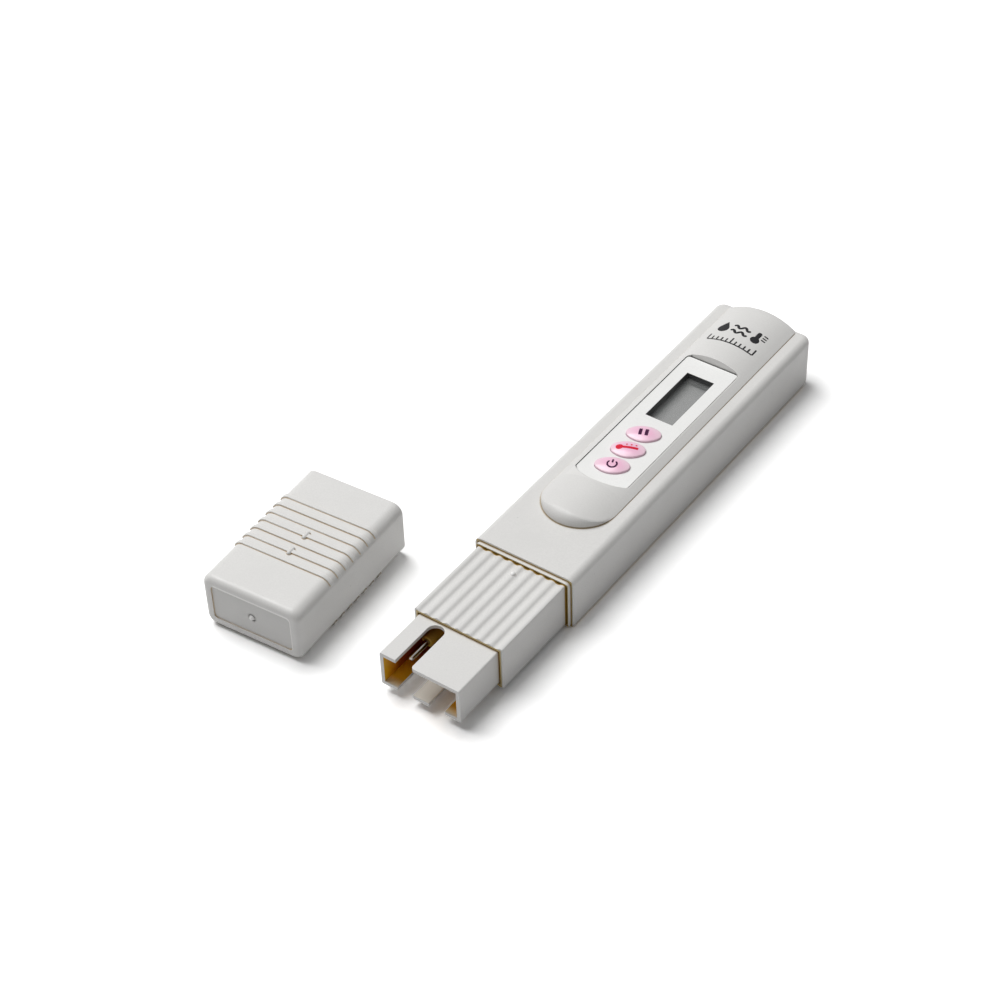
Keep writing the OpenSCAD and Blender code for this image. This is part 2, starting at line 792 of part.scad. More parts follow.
// Ribs and hollows over the neck's upper half: equal arcs that run into each other
module rib_wave() {
  top_z = neck_h / 2;
  root_z = top_z - rib_depth - rib_root;
  for (index = [0:rib_count - 1]) {
    translate([(index - (rib_count - 1) / 2) * rib_pitch, 0]) {
      intersection() {
        translate([0, top_z - wave_r]) circle(wave_r);
        translate([-rib_pitch / 4, root_z]) square([rib_pitch / 2, rib_depth + rib_root + eps]);
      }
      if (index < rib_count - 1) {
        difference() {
          translate([rib_pitch / 4, root_z]) square([rib_pitch / 2, rib_depth + rib_root + eps]);
          translate([rib_pitch / 2, top_z - rib_depth + wave_r]) circle(wave_r);
        }
      }
    }
  }
}

// Cross-section of the neck, waved over and under
module neck_section() {
  intersection() {
    centred_rect(neck_w, neck_h + 2 * rib_lift, neck_edge_r, axis_z);
    union() {
      plain_rect(neck_w, neck_h - 2 * rib_depth - rib_root, axis_z);
      for (face = [0, 1]) {
        translate([0, axis_z]) mirror([0, face]) rib_wave();
      }
    }
  }
}

module probe_neck() {
  post_floor = cavity_z - spigot_h / 2;
  color("#e0deda") from_mouth() {
    difference() {
      union() {
        intersection() {
          along_y(neck_y, lip_y) neck_section();
          translate([0, neck_y, axis_z - neck_h / 2 - rib_lift])
            along_x(-neck_w / 2, neck_w / 2)
              nosed_rect(lip_y - neck_y + eps, neck_h + 2 * rib_lift, neck_end_r);
        }
        along_y(lip_y - eps, spigot_end) plain_rect(spigot_w, spigot_h, cavity_z);
      }
      along_y(neck_y - eps, spigot_end + eps) plain_rect(bore_w, bore_h, axis_z);
    }
    for (side = [-1, 1]) {
      translate([side * screw_x, screw_y, post_floor]) difference() {
        cylinder(d = post_d, h = board_z - post_floor);
        translate([0, 0, floor_wall]) cylinder(d = screw_d + 2 * screw_fit, h = board_z);
      }
    }
    translate([0, -collar_out - nub_y, axis_z + neck_h / 2 - nub_sink]) sphere(d = nub_d);
  }
}

// Slot through the shroud's wall, open at the tip and round at its inner end
module slot_plan() {
  translate([-slot_w / 2, tip_y - eps]) square([slot_w, slot_end_y - slot_w / 2 - tip_y + eps]);
  translate([0, slot_end_y - slot_w / 2]) circle(d = slot_w);
}

// Rounds the slot's corner at the tip on its inner side
module slot_corner() {
  translate([slot_w / 2 - eps, tip_y - eps]) difference() {
    square([slot_lip_r + eps, slot_lip_r + eps]);
    translate([slot_lip_r + eps, slot_lip_r + eps]) circle(slot_lip_r);
  }
}

module probe_shroud() {
  color("#e0deda") from_mouth() difference() {
    union() {
      along_y(tip_y, root_y) centred_rect(shroud_w, shroud_h, shroud_edge_r, axis_z);
      along_y(root_y - shroud_seat, root_y)
        plain_rect(bore_w - 2 * seat_fit, bore_h - 2 * seat_fit, axis_z);
    }
    along_y(tip_y - eps, root_y + eps) plain_rect(shroud_in_w, shroud_in_h, axis_z);
    along_z(axis_z, axis_z + shroud_h) translate([-slot_x, 0]) {
      slot_plan();
      slot_corner();
    }
    for (side = [-1, 1]) {
      along_z(axis_z - shroud_h, axis_z) translate([side * slot_x, 0]) slot_plan();
    }
  }
}

module electrode_carrier() {
  color("#e8dfc6") from_mouth() difference() {
    union() {
      along_y(carrier_y, root_y)
        plain_rect(shroud_in_w - 2 * carrier_fit, shroud_in_h - 2 * carrier_fit, axis_z);
      for (side = [-1, 1]) {
        along_y(boss_y, carrier_y + eps) translate([side * pin_x, axis_z]) circle(d = boss_d);
      }
    }
    for (side = [-1, 1]) {
      along_y(boss_y - eps, root_y + eps) translate([side * pin_x, axis_z]) circle(d = pin_d + 2 * pin_fit);
    }
    along_y(carrier_y - eps, root_y + eps) translate([0, axis_z]) circle(d = sensor_d + 2 * pin_fit);
  }
}

// Electrode pin with a domed tip and a tail that lies in the board's notch
module electrode_pin(side) {
  color("#b9b9b7") from_mouth() translate([side * pin_x, 0, axis_z]) {
    along_y(pin_tip_y + pin_d / 2, tail_y) circle(d = pin_d);
    translate([0, pin_tip_y + pin_d / 2, 0]) sphere(d = pin_d);
  }
}

module electrode_pin_left() {
  electrode_pin(-1);
}

module electrode_pin_right() {
  electrode_pin(1);
}

module temperature_sensor() {
  lead_z = board_z - lead_d / 2 - carrier_fit;
  color("#c9c6bf") from_mouth() {
    along_y(sensor_y + sensor_d / 2, root_y) translate([0, axis_z]) circle(d = sensor_d);
    translate([0, sensor_y + sensor_d / 2, axis_z]) sphere(d = sensor_d);
    for (side = [-1, 1]) {
      along_y(root_y - eps, tail_y) translate([side * lead_x, lead_z]) circle(d = lead_d);
    }
  }
}

module circuit_board() {
  color("#2f6b45") from_mouth() difference() {
    along_z(board_z, board_top) translate([-board_w / 2, board_y]) square([board_w, board_end - board_y]);
    along_z(board_z - eps, board_top + eps) {
      for (side = [-1, 1]) {
        translate([side * pin_x - pin_d / 2 - tail_gap, board_y - eps])
          square([pin_d + 2 * tail_gap, tail_len + tail_gap + eps]);
        translate([side * screw_x, screw_y]) circle(d = screw_d + 2 * board_hole_gap);
        for (end = [-1, 1]) {
          translate([side * peg_x, window_y + end * peg_dy]) circle(d = peg_d + 2 * peg_fit);
        }
      }
    }
  }
}

module display_frame() {
  color("#3a3b3d") from_mouth() {
    along_z(board_top, glass_top) difference() {
      translate([-frame_w / 2, window_y - frame_len / 2]) square([frame_w, frame_len]);
      translate([-glass_w / 2 - frame_gap, window_y - glass_len / 2 - frame_gap])
        square([glass_w + 2 * frame_gap, glass_len + 2 * frame_gap]);
    }
    for (side = [-1, 1]) {
      for (end = [-1, 1]) {
        translate([side * peg_x, window_y + end * peg_dy, board_z])
          cylinder(d = peg_d, h = board_t + frame_h / 2);
      }
    }
  }
}

module display_glass() {
  color("#aab0a8") from_mouth()
    along_z(glass_z, glass_top)
      translate([-glass_w / 2, window_y - glass_len / 2]) square([glass_w, glass_len]);
}

module display_reflector() {
  film_w = 2 * zebra_x - zebra_w - 2 * frame_gap;
  color("#c9ccc6") from_mouth()
    along_z(glass_z - film_t, glass_z)
      translate([-film_w / 2, window_y - window_len / 2]) square([film_w, window_len]);
}

module zebra_strips() {
  color("#4a4a4c") from_mouth() for (side = [-1, 1]) {
    along_z(board_top, glass_z)
      translate([side * zebra_x - zebra_w / 2, window_y - window_len / 2]) square([zebra_w, window_len]);
  }
}

module switch_bases() {
  color("#26272a") from_mouth() for (index = [0:2]) at_key(index) difference() {
    along_z(board_top, board_top + switch_base_h) square(switch_w, center = true);
    translate([0, 0, board_top + switch_base_h / 2])
      cylinder(d = plunger_d + 2 * plunger_fit, h = switch_base_h);
  }
}

module switch_covers() {
  color("#c8c8c6") from_mouth() for (index = [0:2]) at_key(index) difference() {
    along_z(board_top + switch_base_h, board_top + switch_base_h + switch_cover_t)
      square(switch_w, center = true);
    translate([0, 0, board_top]) cylinder(d = plunger_d + 2 * plunger_fit, h = switch_h);
  }
}

module plunger(index) {
  foot_z = board_top + switch_base_h / 2 + key_travel + stem_gap;
  color("#1c1c1e") from_mouth() at_key(index)
    translate([0, 0, foot_z]) cylinder(d = plunger_d, h = plunger_z - foot_z);
}

module plunger_power() {
  plunger(0);
}

module plunger_temp() {
  plunger(1);
}

module plunger_hold() {
  plunger(2);
}

// Blob of resin over the chip: a cap of a sphere
module controller_chip() {
  sphere_r = (blob_r ^ 2 + blob_h ^ 2) / (2 * blob_h);
  color("#151517") from_mouth() intersection() {
    translate([0, chip_y, board_top + blob_h - sphere_r]) sphere(sphere_r);
    translate([-blob_r, chip_y - blob_r, board_top]) cube([2 * blob_r, 2 * blob_r, blob_h]);
  }
}

// Chip parts in two columns beside the blob
module board_components() {
  color("#6b5a48") from_mouth() for (side = [-1, 1]) {
    for (row = [0:chip_part_count - 1]) {
      part_y = chip_y + (row - (chip_part_count - 1) / 2) * chip_part_pitch;
      along_z(board_top, board_top + chip_part_h) translate([side * (blob_r + chip_part_len), part_y])
        square([chip_part_len, chip_part_w], center = true);
    }
  }
}

// Places children at the two cells
module at_cells() {
  for (end = [-1, 1]) {
    translate([0, holder_y + end * cell_pitch / 2, 0]) children();
  }
}

module battery_holder() {
  holder_z = cell_z + cell_out;
  color("#2b2c2f") from_mouth() difference() {
    translate([-holder_w / 2, holder_y - holder_len / 2, holder_z])
      cube([holder_w, holder_len, board_z - holder_z]);
    at_cells() translate([0, 0, cell_z]) cylinder(d = cell_d + 2 * cell_gap, h = cell_h + 2 * eps);
    along_z(cell_z, board_z + eps)
      translate([contact_x - contact_gap, holder_y - side_contact_len / 2 - contact_gap])
        square([contact_t + 2 * contact_gap, side_contact_len + 2 * contact_gap]);
    along_z(cell_top - contact_gap, board_z + eps)
      translate([-strip_w / 2 - contact_gap, holder_y - cell_pitch / 2])
        square([strip_w + 2 * contact_gap, cell_pitch]);
  }
}

module button_cells() {
  color("#b4b5b6") from_mouth() at_cells() translate([0, 0, cell_z]) rotate_extrude() {
    square([cell_d / 2 - cell_rim_r, cell_h]);
    translate([0, cell_rim_r]) square([cell_d / 2, cell_h - 3 * cell_rim_r]);
    translate([cell_d / 2 - cell_rim_r, cell_rim_r]) circle(cell_rim_r);
  }
}

module battery_contact_plus() {
  color("#cdb977") from_mouth()
    translate([contact_x, holder_y - side_contact_len / 2, board_z - side_contact_h])
      cube([contact_t, side_contact_len, side_contact_h]);
}

module battery_contact_minus() {
  color("#cdb977") from_mouth() along_z(cell_top, board_z) {
    at_cells() circle(d = disc_d);
    translate([-strip_w / 2, holder_y - cell_pitch / 2]) square([strip_w, cell_pitch]);
  }
}

module trimmer_body() {
  body_z = board_z - trimmer_h;
  color("#2d55a8") from_mouth() translate([0, trimmer_y, 0]) difference() {
    along_z(body_z, board_z) square(trimmer_w, center = true);
    translate([0, 0, body_z - eps]) cylinder(d = rotor_d + 2 * rotor_fit, h = rotor_depth + rotor_fit + eps);
  }
}

module trimmer_rotor() {
  color("#e6e3da") from_mouth() translate([0, trimmer_y, rotor_z]) difference() {
    cylinder(d = rotor_d, h = rotor_out + rotor_depth);
    translate([-rotor_d, -rotor_slot_w / 2, -eps]) cube([2 * rotor_d, rotor_slot_w, rotor_out + eps]);
  }
}

module board_screws() {
  shank_z = cavity_z - spigot_h / 2 + floor_wall + eps;
  color("#a9aaab") from_mouth() for (side = [-1, 1]) {
    translate([side * screw_x, screw_y, 0]) {
      translate([0, 0, shank_z]) cylinder(d = screw_d, h = board_top - shank_z + eps / 2);
      difference() {
        translate([0, 0, board_top]) cylinder(d = screw_head_d, h = screw_head_h);
        translate([-screw_head_d, -screw_slot_w / 2, board_top + screw_head_h / 2])
          cube([2 * screw_head_d, screw_slot_w, screw_head_h]);
      }
    }
  }
}

// Section of a grip rib: a low bar with bevelled corners, whose root lies in the cap's wall
module grip_section() {
  bevel_x = grip_h - grip_bevel;
  bevel_y = grip_w / 2 - grip_bevel;
  translate([cap_edge_r, 0]) polygon([
    [-grip_root, -grip_w / 2], [bevel_x, -grip_w / 2], [grip_h, -bevel_y],
    [grip_h, bevel_y], [bevel_x, grip_w / 2], [-grip_root, grip_w / 2]
  ]);
}

// Grip rib over one face of the cap, which follows both long edges part of the way round
module grip_rib() {
  edge_x = cap_w / 2 - cap_edge_r;
  edge_z = cap_h / 2 - cap_edge_r;
  translate([-edge_x, 0, edge_z]) rotate([90, 0, 90]) linear_extrude(2 * edge_x)
    rotate(90) grip_section();
  for (side = [0, 1]) {
    mirror([side, 0, 0]) translate([edge_x, 0, edge_z])
      rotate([90, 0, 0]) rotate(90 - grip_angle) rotate_extrude(angle = grip_angle) grip_section();
  }
}

module grip_ribs() {
  for (index = [0:grip_count - 1]) {
    for (face = [0, 1]) {
      translate([0, grip_start + index * grip_pitch, cap_h / 2]) mirror([0, 0, face]) grip_rib();
    }
  }
}

// Cap before anything is cut: its section also runs round the rim of the closed end at y = 0
module cap_block() {
  edge_x = cap_w / 2 - cap_edge_r;
  edge_z = cap_h / 2 - cap_edge_r;
  along_y(cap_end_r, cap_len) rounded_rect(cap_w, cap_h, cap_edge_r, cap_edge_r);
  along_x(-edge_x, edge_x) rim_strip(cap_h, cap_end_r);
  along_z(cap_edge_r, cap_h - cap_edge_r) translate([cap_w / 2, 0]) rotate(90) rim_strip(cap_w, cap_end_r);
  for (side = [0, 1]) {
    for (face = [0, 1]) {
      translate([0, 0, cap_h / 2]) mirror([side, 0, 0]) mirror([0, 0, face])
        translate([edge_x, cap_end_r, edge_z]) rotate([90, 0, 0])
          rotate_extrude(angle = 90) rim_corner(cap_edge_r, cap_end_r);
    }
  }
}

// Cap drawn from its closed end, standing on its own lower face
module cap_solid() {
  panel_w_in = cap_w - 2 * end_panel_margin;
  panel_h_in = cap_h - 2 * end_panel_margin;
  difference() {
    union() {
      cap_block();
      grip_ribs();
      for (row = [1, 3]) {
        translate([0, grip_start + row * grip_pitch, cap_h + knob_rise - knob_d / 2]) {
          along_y(-knob_len / 2 + knob_d / 2, knob_len / 2 - knob_d / 2) circle(d = knob_d);
          for (end = [-1, 1]) {
            translate([0, end * (knob_len - knob_d) / 2, 0]) sphere(d = knob_d);
          }
        }
      }
    }
    along_y(cap_end_wall, cap_len + eps) centred_rect(cap_in_w, cap_in_h, cap_inner_r, cap_h / 2);
    along_y(-eps, end_panel_depth) centred_rect(panel_w_in, panel_h_in, end_panel_r, cap_h / 2);
    along_y(-eps, end_panel_depth + gate_depth) translate([0, cap_h / 2]) difference() {
      circle(d = gate_d);
      circle(d = stub_d);
    }
  }
}

module cap_shell() {
  color("#dcdad5") from_mouth()
    translate([cap_x, cap_y, grip_h]) rotate([0, 0, cap_yaw]) translate([0, -cap_len / 2, 0]) cap_solid();
}

body_shell();
face_label();
display_window();
key_power();
key_temp();
key_hold();
mouth_collar();
probe_neck();
probe_shroud();
electrode_carrier();
electrode_pin_left();
electrode_pin_right();
temperature_sensor();
circuit_board();
display_frame();
display_glass();
display_reflector();
zebra_strips();
switch_bases();
switch_covers();
plunger_power();
plunger_temp();
plunger_hold();
controller_chip();
board_components();
battery_holder();
button_cells();
battery_contact_plus();
battery_contact_minus();
trimmer_body();
trimmer_rotor();
board_screws();
cap_shell();
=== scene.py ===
"""Looks of a pen-type water tester that lies on a pale floor with its cap beside it.

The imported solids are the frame. This script gives each solid its finish, prints the signs on the
keys and on the panel, adds a gate mark to the cap and solder and plated ends to the board, and sets
the floor, the lamp and the camera.
Lengths are in metres in the frame of the solids: Y runs along the tester, Z is up from its flat back.
"""
import json
import math

import bmesh
import bpy
import numpy as np
from mathutils import Matrix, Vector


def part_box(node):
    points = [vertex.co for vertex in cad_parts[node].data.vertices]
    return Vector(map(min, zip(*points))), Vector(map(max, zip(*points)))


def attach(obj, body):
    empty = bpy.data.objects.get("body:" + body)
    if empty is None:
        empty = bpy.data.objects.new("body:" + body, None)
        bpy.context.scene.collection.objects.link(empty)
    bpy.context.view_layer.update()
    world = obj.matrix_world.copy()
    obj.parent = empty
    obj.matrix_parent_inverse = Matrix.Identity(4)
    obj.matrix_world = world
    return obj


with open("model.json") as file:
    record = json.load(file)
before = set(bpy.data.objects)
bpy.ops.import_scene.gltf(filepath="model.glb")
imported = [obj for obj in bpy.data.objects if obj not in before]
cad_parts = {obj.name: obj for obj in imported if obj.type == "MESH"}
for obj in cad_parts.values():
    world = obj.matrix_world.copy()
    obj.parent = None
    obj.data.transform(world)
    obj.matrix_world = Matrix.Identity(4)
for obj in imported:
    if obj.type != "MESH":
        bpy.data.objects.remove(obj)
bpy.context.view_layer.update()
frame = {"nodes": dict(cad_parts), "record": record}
NODES = frame["nodes"]
MM = 0.001

# Sizes of the housing, its label and its display opening
MOUTH_Y = -55.9 * MM
ARCH_R = 18.0 * MM
CREST_Z = 18.4 * MM
TONGUE_TOP_Z = 15.65 * MM
CREASE_Z = 15.1 * MM
LABEL_Y = 30.0 * MM + MOUTH_Y
LABEL_LEN = 55.0 * MM
LABEL_HALF = 7.5 * MM
LABEL_Z = 16.6 * MM
WINDOW_Y = 69.1 * MM + MOUTH_Y
WINDOW_HALF = (3.95 * MM, 9.9 * MM)
WINDOW_DEPTH = 5.0 * MM

# Sizes of the keys, in the order power, temperature and hold
KEY_Y = (38.0 * MM + MOUTH_Y, 45.1 * MM + MOUTH_Y, 52.2 * MM + MOUTH_Y)
KEY_TURN = math.radians(22.0)
KEY_HALF = (4.45 * MM, 2.95 * MM)
CROWN_Z = 17.7 * MM
CROWN_LONG_R = 15.0 * MM
CROWN_SHORT_R = 6.5 * MM

# Sizes of the probe
PROBE_Z = 7.4 * MM
COLLAR_TIP_Y = -0.9 * MM + MOUTH_Y
NECK_TIP_Y = -26.5 * MM + MOUTH_Y
SHROUD_TIP_Y = -41.6 * MM + MOUTH_Y
SHROUD_HALF = (10.3 * MM, 4.0 * MM)
TAB_HALF = 2.4 * MM
NUB = (0.0, -4.5 * MM + MOUTH_Y, 14.0 * MM)

# End faces painted with the brown shade of the gap in front of them: the Y of the face, the half width of the
# painted shade and its height
MOUTH_GROOVE = (MOUTH_Y, 13.8 * MM, 14.75 * MM)
COLLAR_GROOVE = (COLLAR_TIP_Y, 13.25 * MM, 14.1 * MM)
NECK_GROOVE = (NECK_TIP_Y, 12.1 * MM, 13.35 * MM)

# Sizes of the cap
CAP_GATE = (-45.98 * MM, -46.4 * MM + MOUTH_Y, 8.32 * MM)
CAP_YAW = math.radians(3.7)
CAP_PANEL_HALF = (11.4 * MM, 5.27 * MM)
CAP_PANEL_R = 1.0 * MM
GATE_R = 0.6 * MM
GATE_FOOT = 0.12 * MM

# Sizes on the board
HOLDER_Y = 35.0 * MM + MOUTH_Y
HOLDER_HALF = 13.6 * MM
SWITCH_LEG = (2.25 * MM, 2.4 * MM)
TRIMMER_LEG_Y = 96.9 * MM + MOUTH_Y
TRIMMER_LEG_PITCH = 2.5 * MM
CHIP_X = 6.5 * MM
CHIP_PITCH = 1.9 * MM
CHIP_END_X = 0.8 * MM
CHIP_END_HALF = (0.25 * MM, 0.65 * MM, 0.32 * MM)
TRACK_PITCH = 1.1 * MM
TRACK_LEN = 7.3 * MM
TRACK_HALF = 0.16 * MM

# Sizes of the printed signs
PRINT_LIFT = 0.025 * MM
LINE_HALF = 0.24 * MM
THIN_HALF = 0.22 * MM

# How far a mark reaches past the wall that it colours, and the radius that softens the housing's edges
WALL_SKIN = 0.06 * MM
FACE_SKIN = 0.02 * MM
EDGE_R = 0.25 * MM

# Colours that several finishes share, and those of the painted shade, shadow and highlights
HOUSING = (0.755, 0.747, 0.73)
HIGHLIGHT_PALE = (0.97, 0.965, 0.95)
CREVICE_SHADE_BROWN = (0.50, 0.30, 0.055)
ROOT_SHADE = (0.42, 0.25, 0.035)
END_FACE_SHADE = (0.58, 0.44, 0.19)
WINDOW_WALL_SHADE = (0.07, 0.07, 0.072)
LABEL_GAP_SHADOW = (0.06, 0.058, 0.055)
CREASE_SHADE = (0.17, 0.12, 0.04)
RIB_GAP_SHADOW = (0.03, 0.022, 0.015)
LIT_EDGE = (1.0, 0.99, 0.97)

# Places and colours of the painted amber light and shade inside the shroud, from its tip to its root
AMBER_LEN = 16.0 * MM
AMBER = (
    (0.0, (0.58, 0.55, 0.49)),
    (0.07, (0.84, 0.67, 0.38)),
    (0.17, (0.94, 0.55, 0.02)),
    (0.40, (0.82, 0.43, 0.002)),
    (0.52, (0.72, 0.30, 0.001)),
    (0.72, (0.36, 0.05, 0.001)),
    (1.0, (0.16, 0.012, 0.001)),
)


# Surfaces

def sealed(rings, first, last):
    """Closed skin over a stack of rings: quads between neighbours, and a fan to a pole at each end."""
    count, around = rings.shape[:2]
    points = np.vstack([rings.reshape(-1, 3), first, last])
    here = np.arange(around)
    after = (here + 1) % around
    row = (np.arange(count - 1) * around)[:, None]
    quads = np.stack([row + here, row + after, row + around + after, row + around + here], -1)
    top = (count - 1) * around
    low_fan = np.stack([after, here, np.full(around, count * around)], -1)
    high_fan = np.stack([top + here, top + after, np.full(around, count * around + 1)], -1)
    return points, quads.reshape(-1, 4).tolist() + low_fan.tolist() + high_fan.tolist()


def stroke(path, half, ground):
    """Printed line: an ellipse carried along a path in plan, on top of the ground.
    The half width follows a semicircle at both ends and is constant between them."""
    path = np.asarray(path, float)
    run = np.r_[0, np.cumsum(np.hypot(*np.diff(path, axis=0).T))]
    tip = half * (1 - np.cos(np.linspace(0.2, 1, 6) * math.pi / 2))
    middle = np.linspace(half, run[-1] - half, max(int(run[-1] / half), 3))
    along = np.r_[tip[:-1], middle, run[-1] - tip[-2::-1]]
    past = np.clip(half - np.minimum(along, run[-1] - along), 0, half)
    width = np.sqrt(half ** 2 - past ** 2)
    centre = np.stack([np.interp(along, run, path[:, axis]) for axis in (0, 1)], -1)
    ahead = np.gradient(centre, axis=0)
    ahead /= np.linalg.norm(ahead, axis=1, keepdims=True)
    across = np.stack([-ahead[:, 1], ahead[:, 0]], -1)
    turn = np.linspace(0, 2 * math.pi, 12, endpoint=False)
    plan = centre[:, None] + across[:, None] * (width[:, None] * np.cos(turn))[..., None]
    rise = PRINT_LIFT * (width / half)[:, None] * np.sin(turn)
    rings = np.dstack([plan, ground(plan[..., 0], plan[..., 1]) + rise])
    ends = [np.r_[path[i], ground(path[i, 0], path[i, 1])] for i in (0, -1)]
    return sealed(rings, *ends)


def blot(centre, outline, ground, lift=PRINT_LIFT):
    """Filled sign: a lens whose rim lies at a radius that depends on the direction, on top of the ground."""
    turn = np.linspace(0, 2 * math.pi, 48, endpoint=False)
    tilt = np.radians(np.linspace(-81, 81, 10))[:, None]
    reach = np.cos(tilt) * outline(turn)
    x = centre[0] + reach * np.cos(turn)
    y = centre[1] + reach * np.sin(turn)
    rings = np.dstack([x, y, ground(x, y) + lift * np.sin(tilt)])
    height = ground(centre[0], centre[1])
    return sealed(rings, [*centre, height - lift], [*centre, height + lift])


def round_outline(radius):
    """Outline of a circle: the same radius in every direction."""
    return lambda turn: radius + 0 * turn


def block(middle, half, power=0.3):
    """Block with soft edges: a superellipsoid, whose sines and cosines are raised to a small power."""
    turn = np.linspace(0, 2 * math.pi, 24, endpoint=False) + math.pi / 24
    tilt = np.radians(np.linspace(-84, 84, 13))[:, None]

    def soft(value):
        return np.sign(value) * np.abs(value) ** power

    unit = np.dstack([soft(np.cos(tilt)) * soft(np.cos(turn)), soft(np.cos(tilt)) * soft(np.sin(turn)),
                      soft(np.sin(tilt)) * np.ones_like(turn)])
    middle, half = np.asarray(middle), np.asarray(half)
    poles = [middle - half * [0, 0, 1], middle + half * [0, 0, 1]]
    return sealed(middle + unit * half, *poles)


def piece(name, skins, material, body):
    """One object from several closed skins, smooth, facing outwards, riding on a body."""
    points, faces, start = [], [], 0
    for skin_points, skin_faces in skins:
        points.append(skin_points)
        faces += [[start + corner for corner in face] for face in skin_faces]
        start += len(skin_points)
    mesh = bpy.data.meshes.new(name)
    mesh.from_pydata(np.vstack(points), [], faces)
    work = bmesh.new()
    work.from_mesh(mesh)
    bmesh.ops.recalc_face_normals(work, faces=work.faces)
    work.to_mesh(mesh)
    work.free()
    mesh.shade_smooth()
    mesh.materials.append(material)
    made = bpy.data.objects.new(name, mesh)
    bpy.context.scene.collection.objects.link(made)
    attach(made, body)
    return made


# Shader nodes

def put(tree, kind, sockets=(), **settings):
    """Adds a node. Each socket, by name or number, takes a value or the link of another socket."""
    node = tree.nodes.new("ShaderNode" + kind)
    for key, value in settings.items():
        setattr(node, key, value)
    for key, value in dict(sockets).items():
        if isinstance(value, bpy.types.NodeSocket):
            tree.links.new(value, node.inputs[key])
        else:
            node.inputs[key].default_value = value
    return node


def between(tree, factor, first, second):
    """Colour that goes from the first to the second with the factor."""
    return put(tree, "Mix", {0: factor, 6: first, 7: second}, data_type="RGBA").outputs[2]


def spread(tree, value, low, high, to_low, to_high):
    """Value carried from one range to another, and held at its ends."""
    return put(tree, "MapRange", {0: value, 1: low, 2: high, 3: to_low, 4: to_high}).outputs[0]


def calc(tree, operation, first, second=0.0):
    """Result of one operation on two values."""
    return put(tree, "Math", {0: first, 1: second}, operation=operation).outputs[0]


def product(tree, first, *others):
    """Product of several values, which for masks is the place where all of them hold."""
    for other in others:
        first = calc(tree, "MULTIPLY", first, other)
    return first


def below(tree, value, limit):
    """Mask of the places where the value is less than the limit."""
    return calc(tree, "LESS_THAN", value, limit)


def above(tree, value, limit):
    """Mask of the places where the value is greater than the limit."""
    return calc(tree, "GREATER_THAN", value, limit)


def off(tree, value, middle=0.0):
    """Distance of a value from its middle."""
    return calc(tree, "ABSOLUTE", calc(tree, "SUBTRACT", value, middle))


def vector(tree, operation, *inputs):
    """Result of one operation on vectors: a value for a length, distance or dot product, or else a vector."""
    node = put(tree, "VectorMath", dict(enumerate(inputs)), operation=operation)
    return node.outputs["Value" if operation in ("LENGTH", "DISTANCE", "DOT_PRODUCT") else "Vector"]


def spot(tree):
    """Object coordinates, which are the frame of the solids."""
    return put(tree, "TexCoord").outputs["Object"]


def parts(tree, where):
    """X, Y and Z of a vector."""
    return put(tree, "SeparateXYZ", {0: where}).outputs


def noise(tree, where, scale, detail, roughness=0.5):
    """Soft noise between nought and one, mostly near a half."""
    sockets = {"Vector": where, "Scale": scale, "Detail": detail, "Roughness": roughness}
    return put(tree, "TexNoise", sockets).outputs[0]


def rgba(*colour):
    """Colour with full alpha."""
    return (*colour, 1.0)


def dimmed(colour, share):
    """Colour with full alpha, darkened to a share of itself."""
    return rgba(*(share * part for part in colour))


# Effects that several finishes use

def effect(name, inputs, outputs):
    """Empty node group with its sockets, its input node and its output node."""
    group = bpy.data.node_groups.new(name, "ShaderNodeTree")
    for label, value in inputs.items():
        socket = group.interface.new_socket(label, in_out="INPUT", socket_type="NodeSocketFloat")
        socket.default_value = value
    for label in outputs:
        group.interface.new_socket(label, in_out="OUTPUT", socket_type="NodeSocketFloat")
    return group, group.nodes.new("NodeGroupInput").outputs, group.nodes.new("NodeGroupOutput").inputs


def moulded_grain():
    """Skin of a moulded plastic: a fine relief, a mottle, broad clouds of shade and patches of gloss."""
    outputs = ("Relief", "Mottle", "Shade", "Gloss")
    group, given, out = effect("moulded_grain", {"Grain": 7000.0, "Clouds": 55.0}, outputs)
    where = spot(group)
    fine = noise(group, where, given["Grain"], 2.0)
    mottle = noise(group, where, 2400.0, 1.0)
    broad = noise(group, where, given["Clouds"], 4.0, 0.6)
    patch = noise(group, where, 310.0, 3.0)
    group.links.new(fine, out["Relief"])
    group.links.new(spread(group, mottle, 0.35, 0.65, 0.0, 1.0), out["Mottle"])
    group.links.new(spread(group, broad, 0.35, 0.65, 0.0, 1.0), out["Shade"])
    group.links.new(spread(group, patch, 0.3, 0.7, 0.0, 1.0), out["Gloss"])
    return group


def dust():
    """Specks of dust: cells of a Voronoi pattern, of which a few, picked by chance, keep their core."""
    group, given, out = effect("dust", {"Cells": 420.0, "Share": 0.05}, ("Mask",))
    cells = put(group, "TexVoronoi", {"Vector": spot(group), "Scale": given["Cells"]})
    core = spread(group, cells.outputs["Distance"], 0.05, 0.11, 1.0, 0.0)
    tone = put(group, "SeparateColor", {0: cells.outputs["Color"]}).outputs[0]
    group.links.new(product(group, core, below(group, tone, given["Share"])), out["Mask"])
    return group


def crevice():
    """Depth of a narrow gap, where the finishes paint shade: how much of the sky above the surface is hidden
    within the reach.
    """
    group, given, out = effect("crevice", {"Reach": 0.75 * MM, "Open": 0.84, "Shut": 0.4}, ("Mask",))
    hidden = put(group, "AmbientOcclusion", {"Distance": given["Reach"]}, samples=16).outputs["AO"]
    group.links.new(spread(group, hidden, given["Shut"], given["Open"], 1.0, 0.0), out["Mask"])
    return group


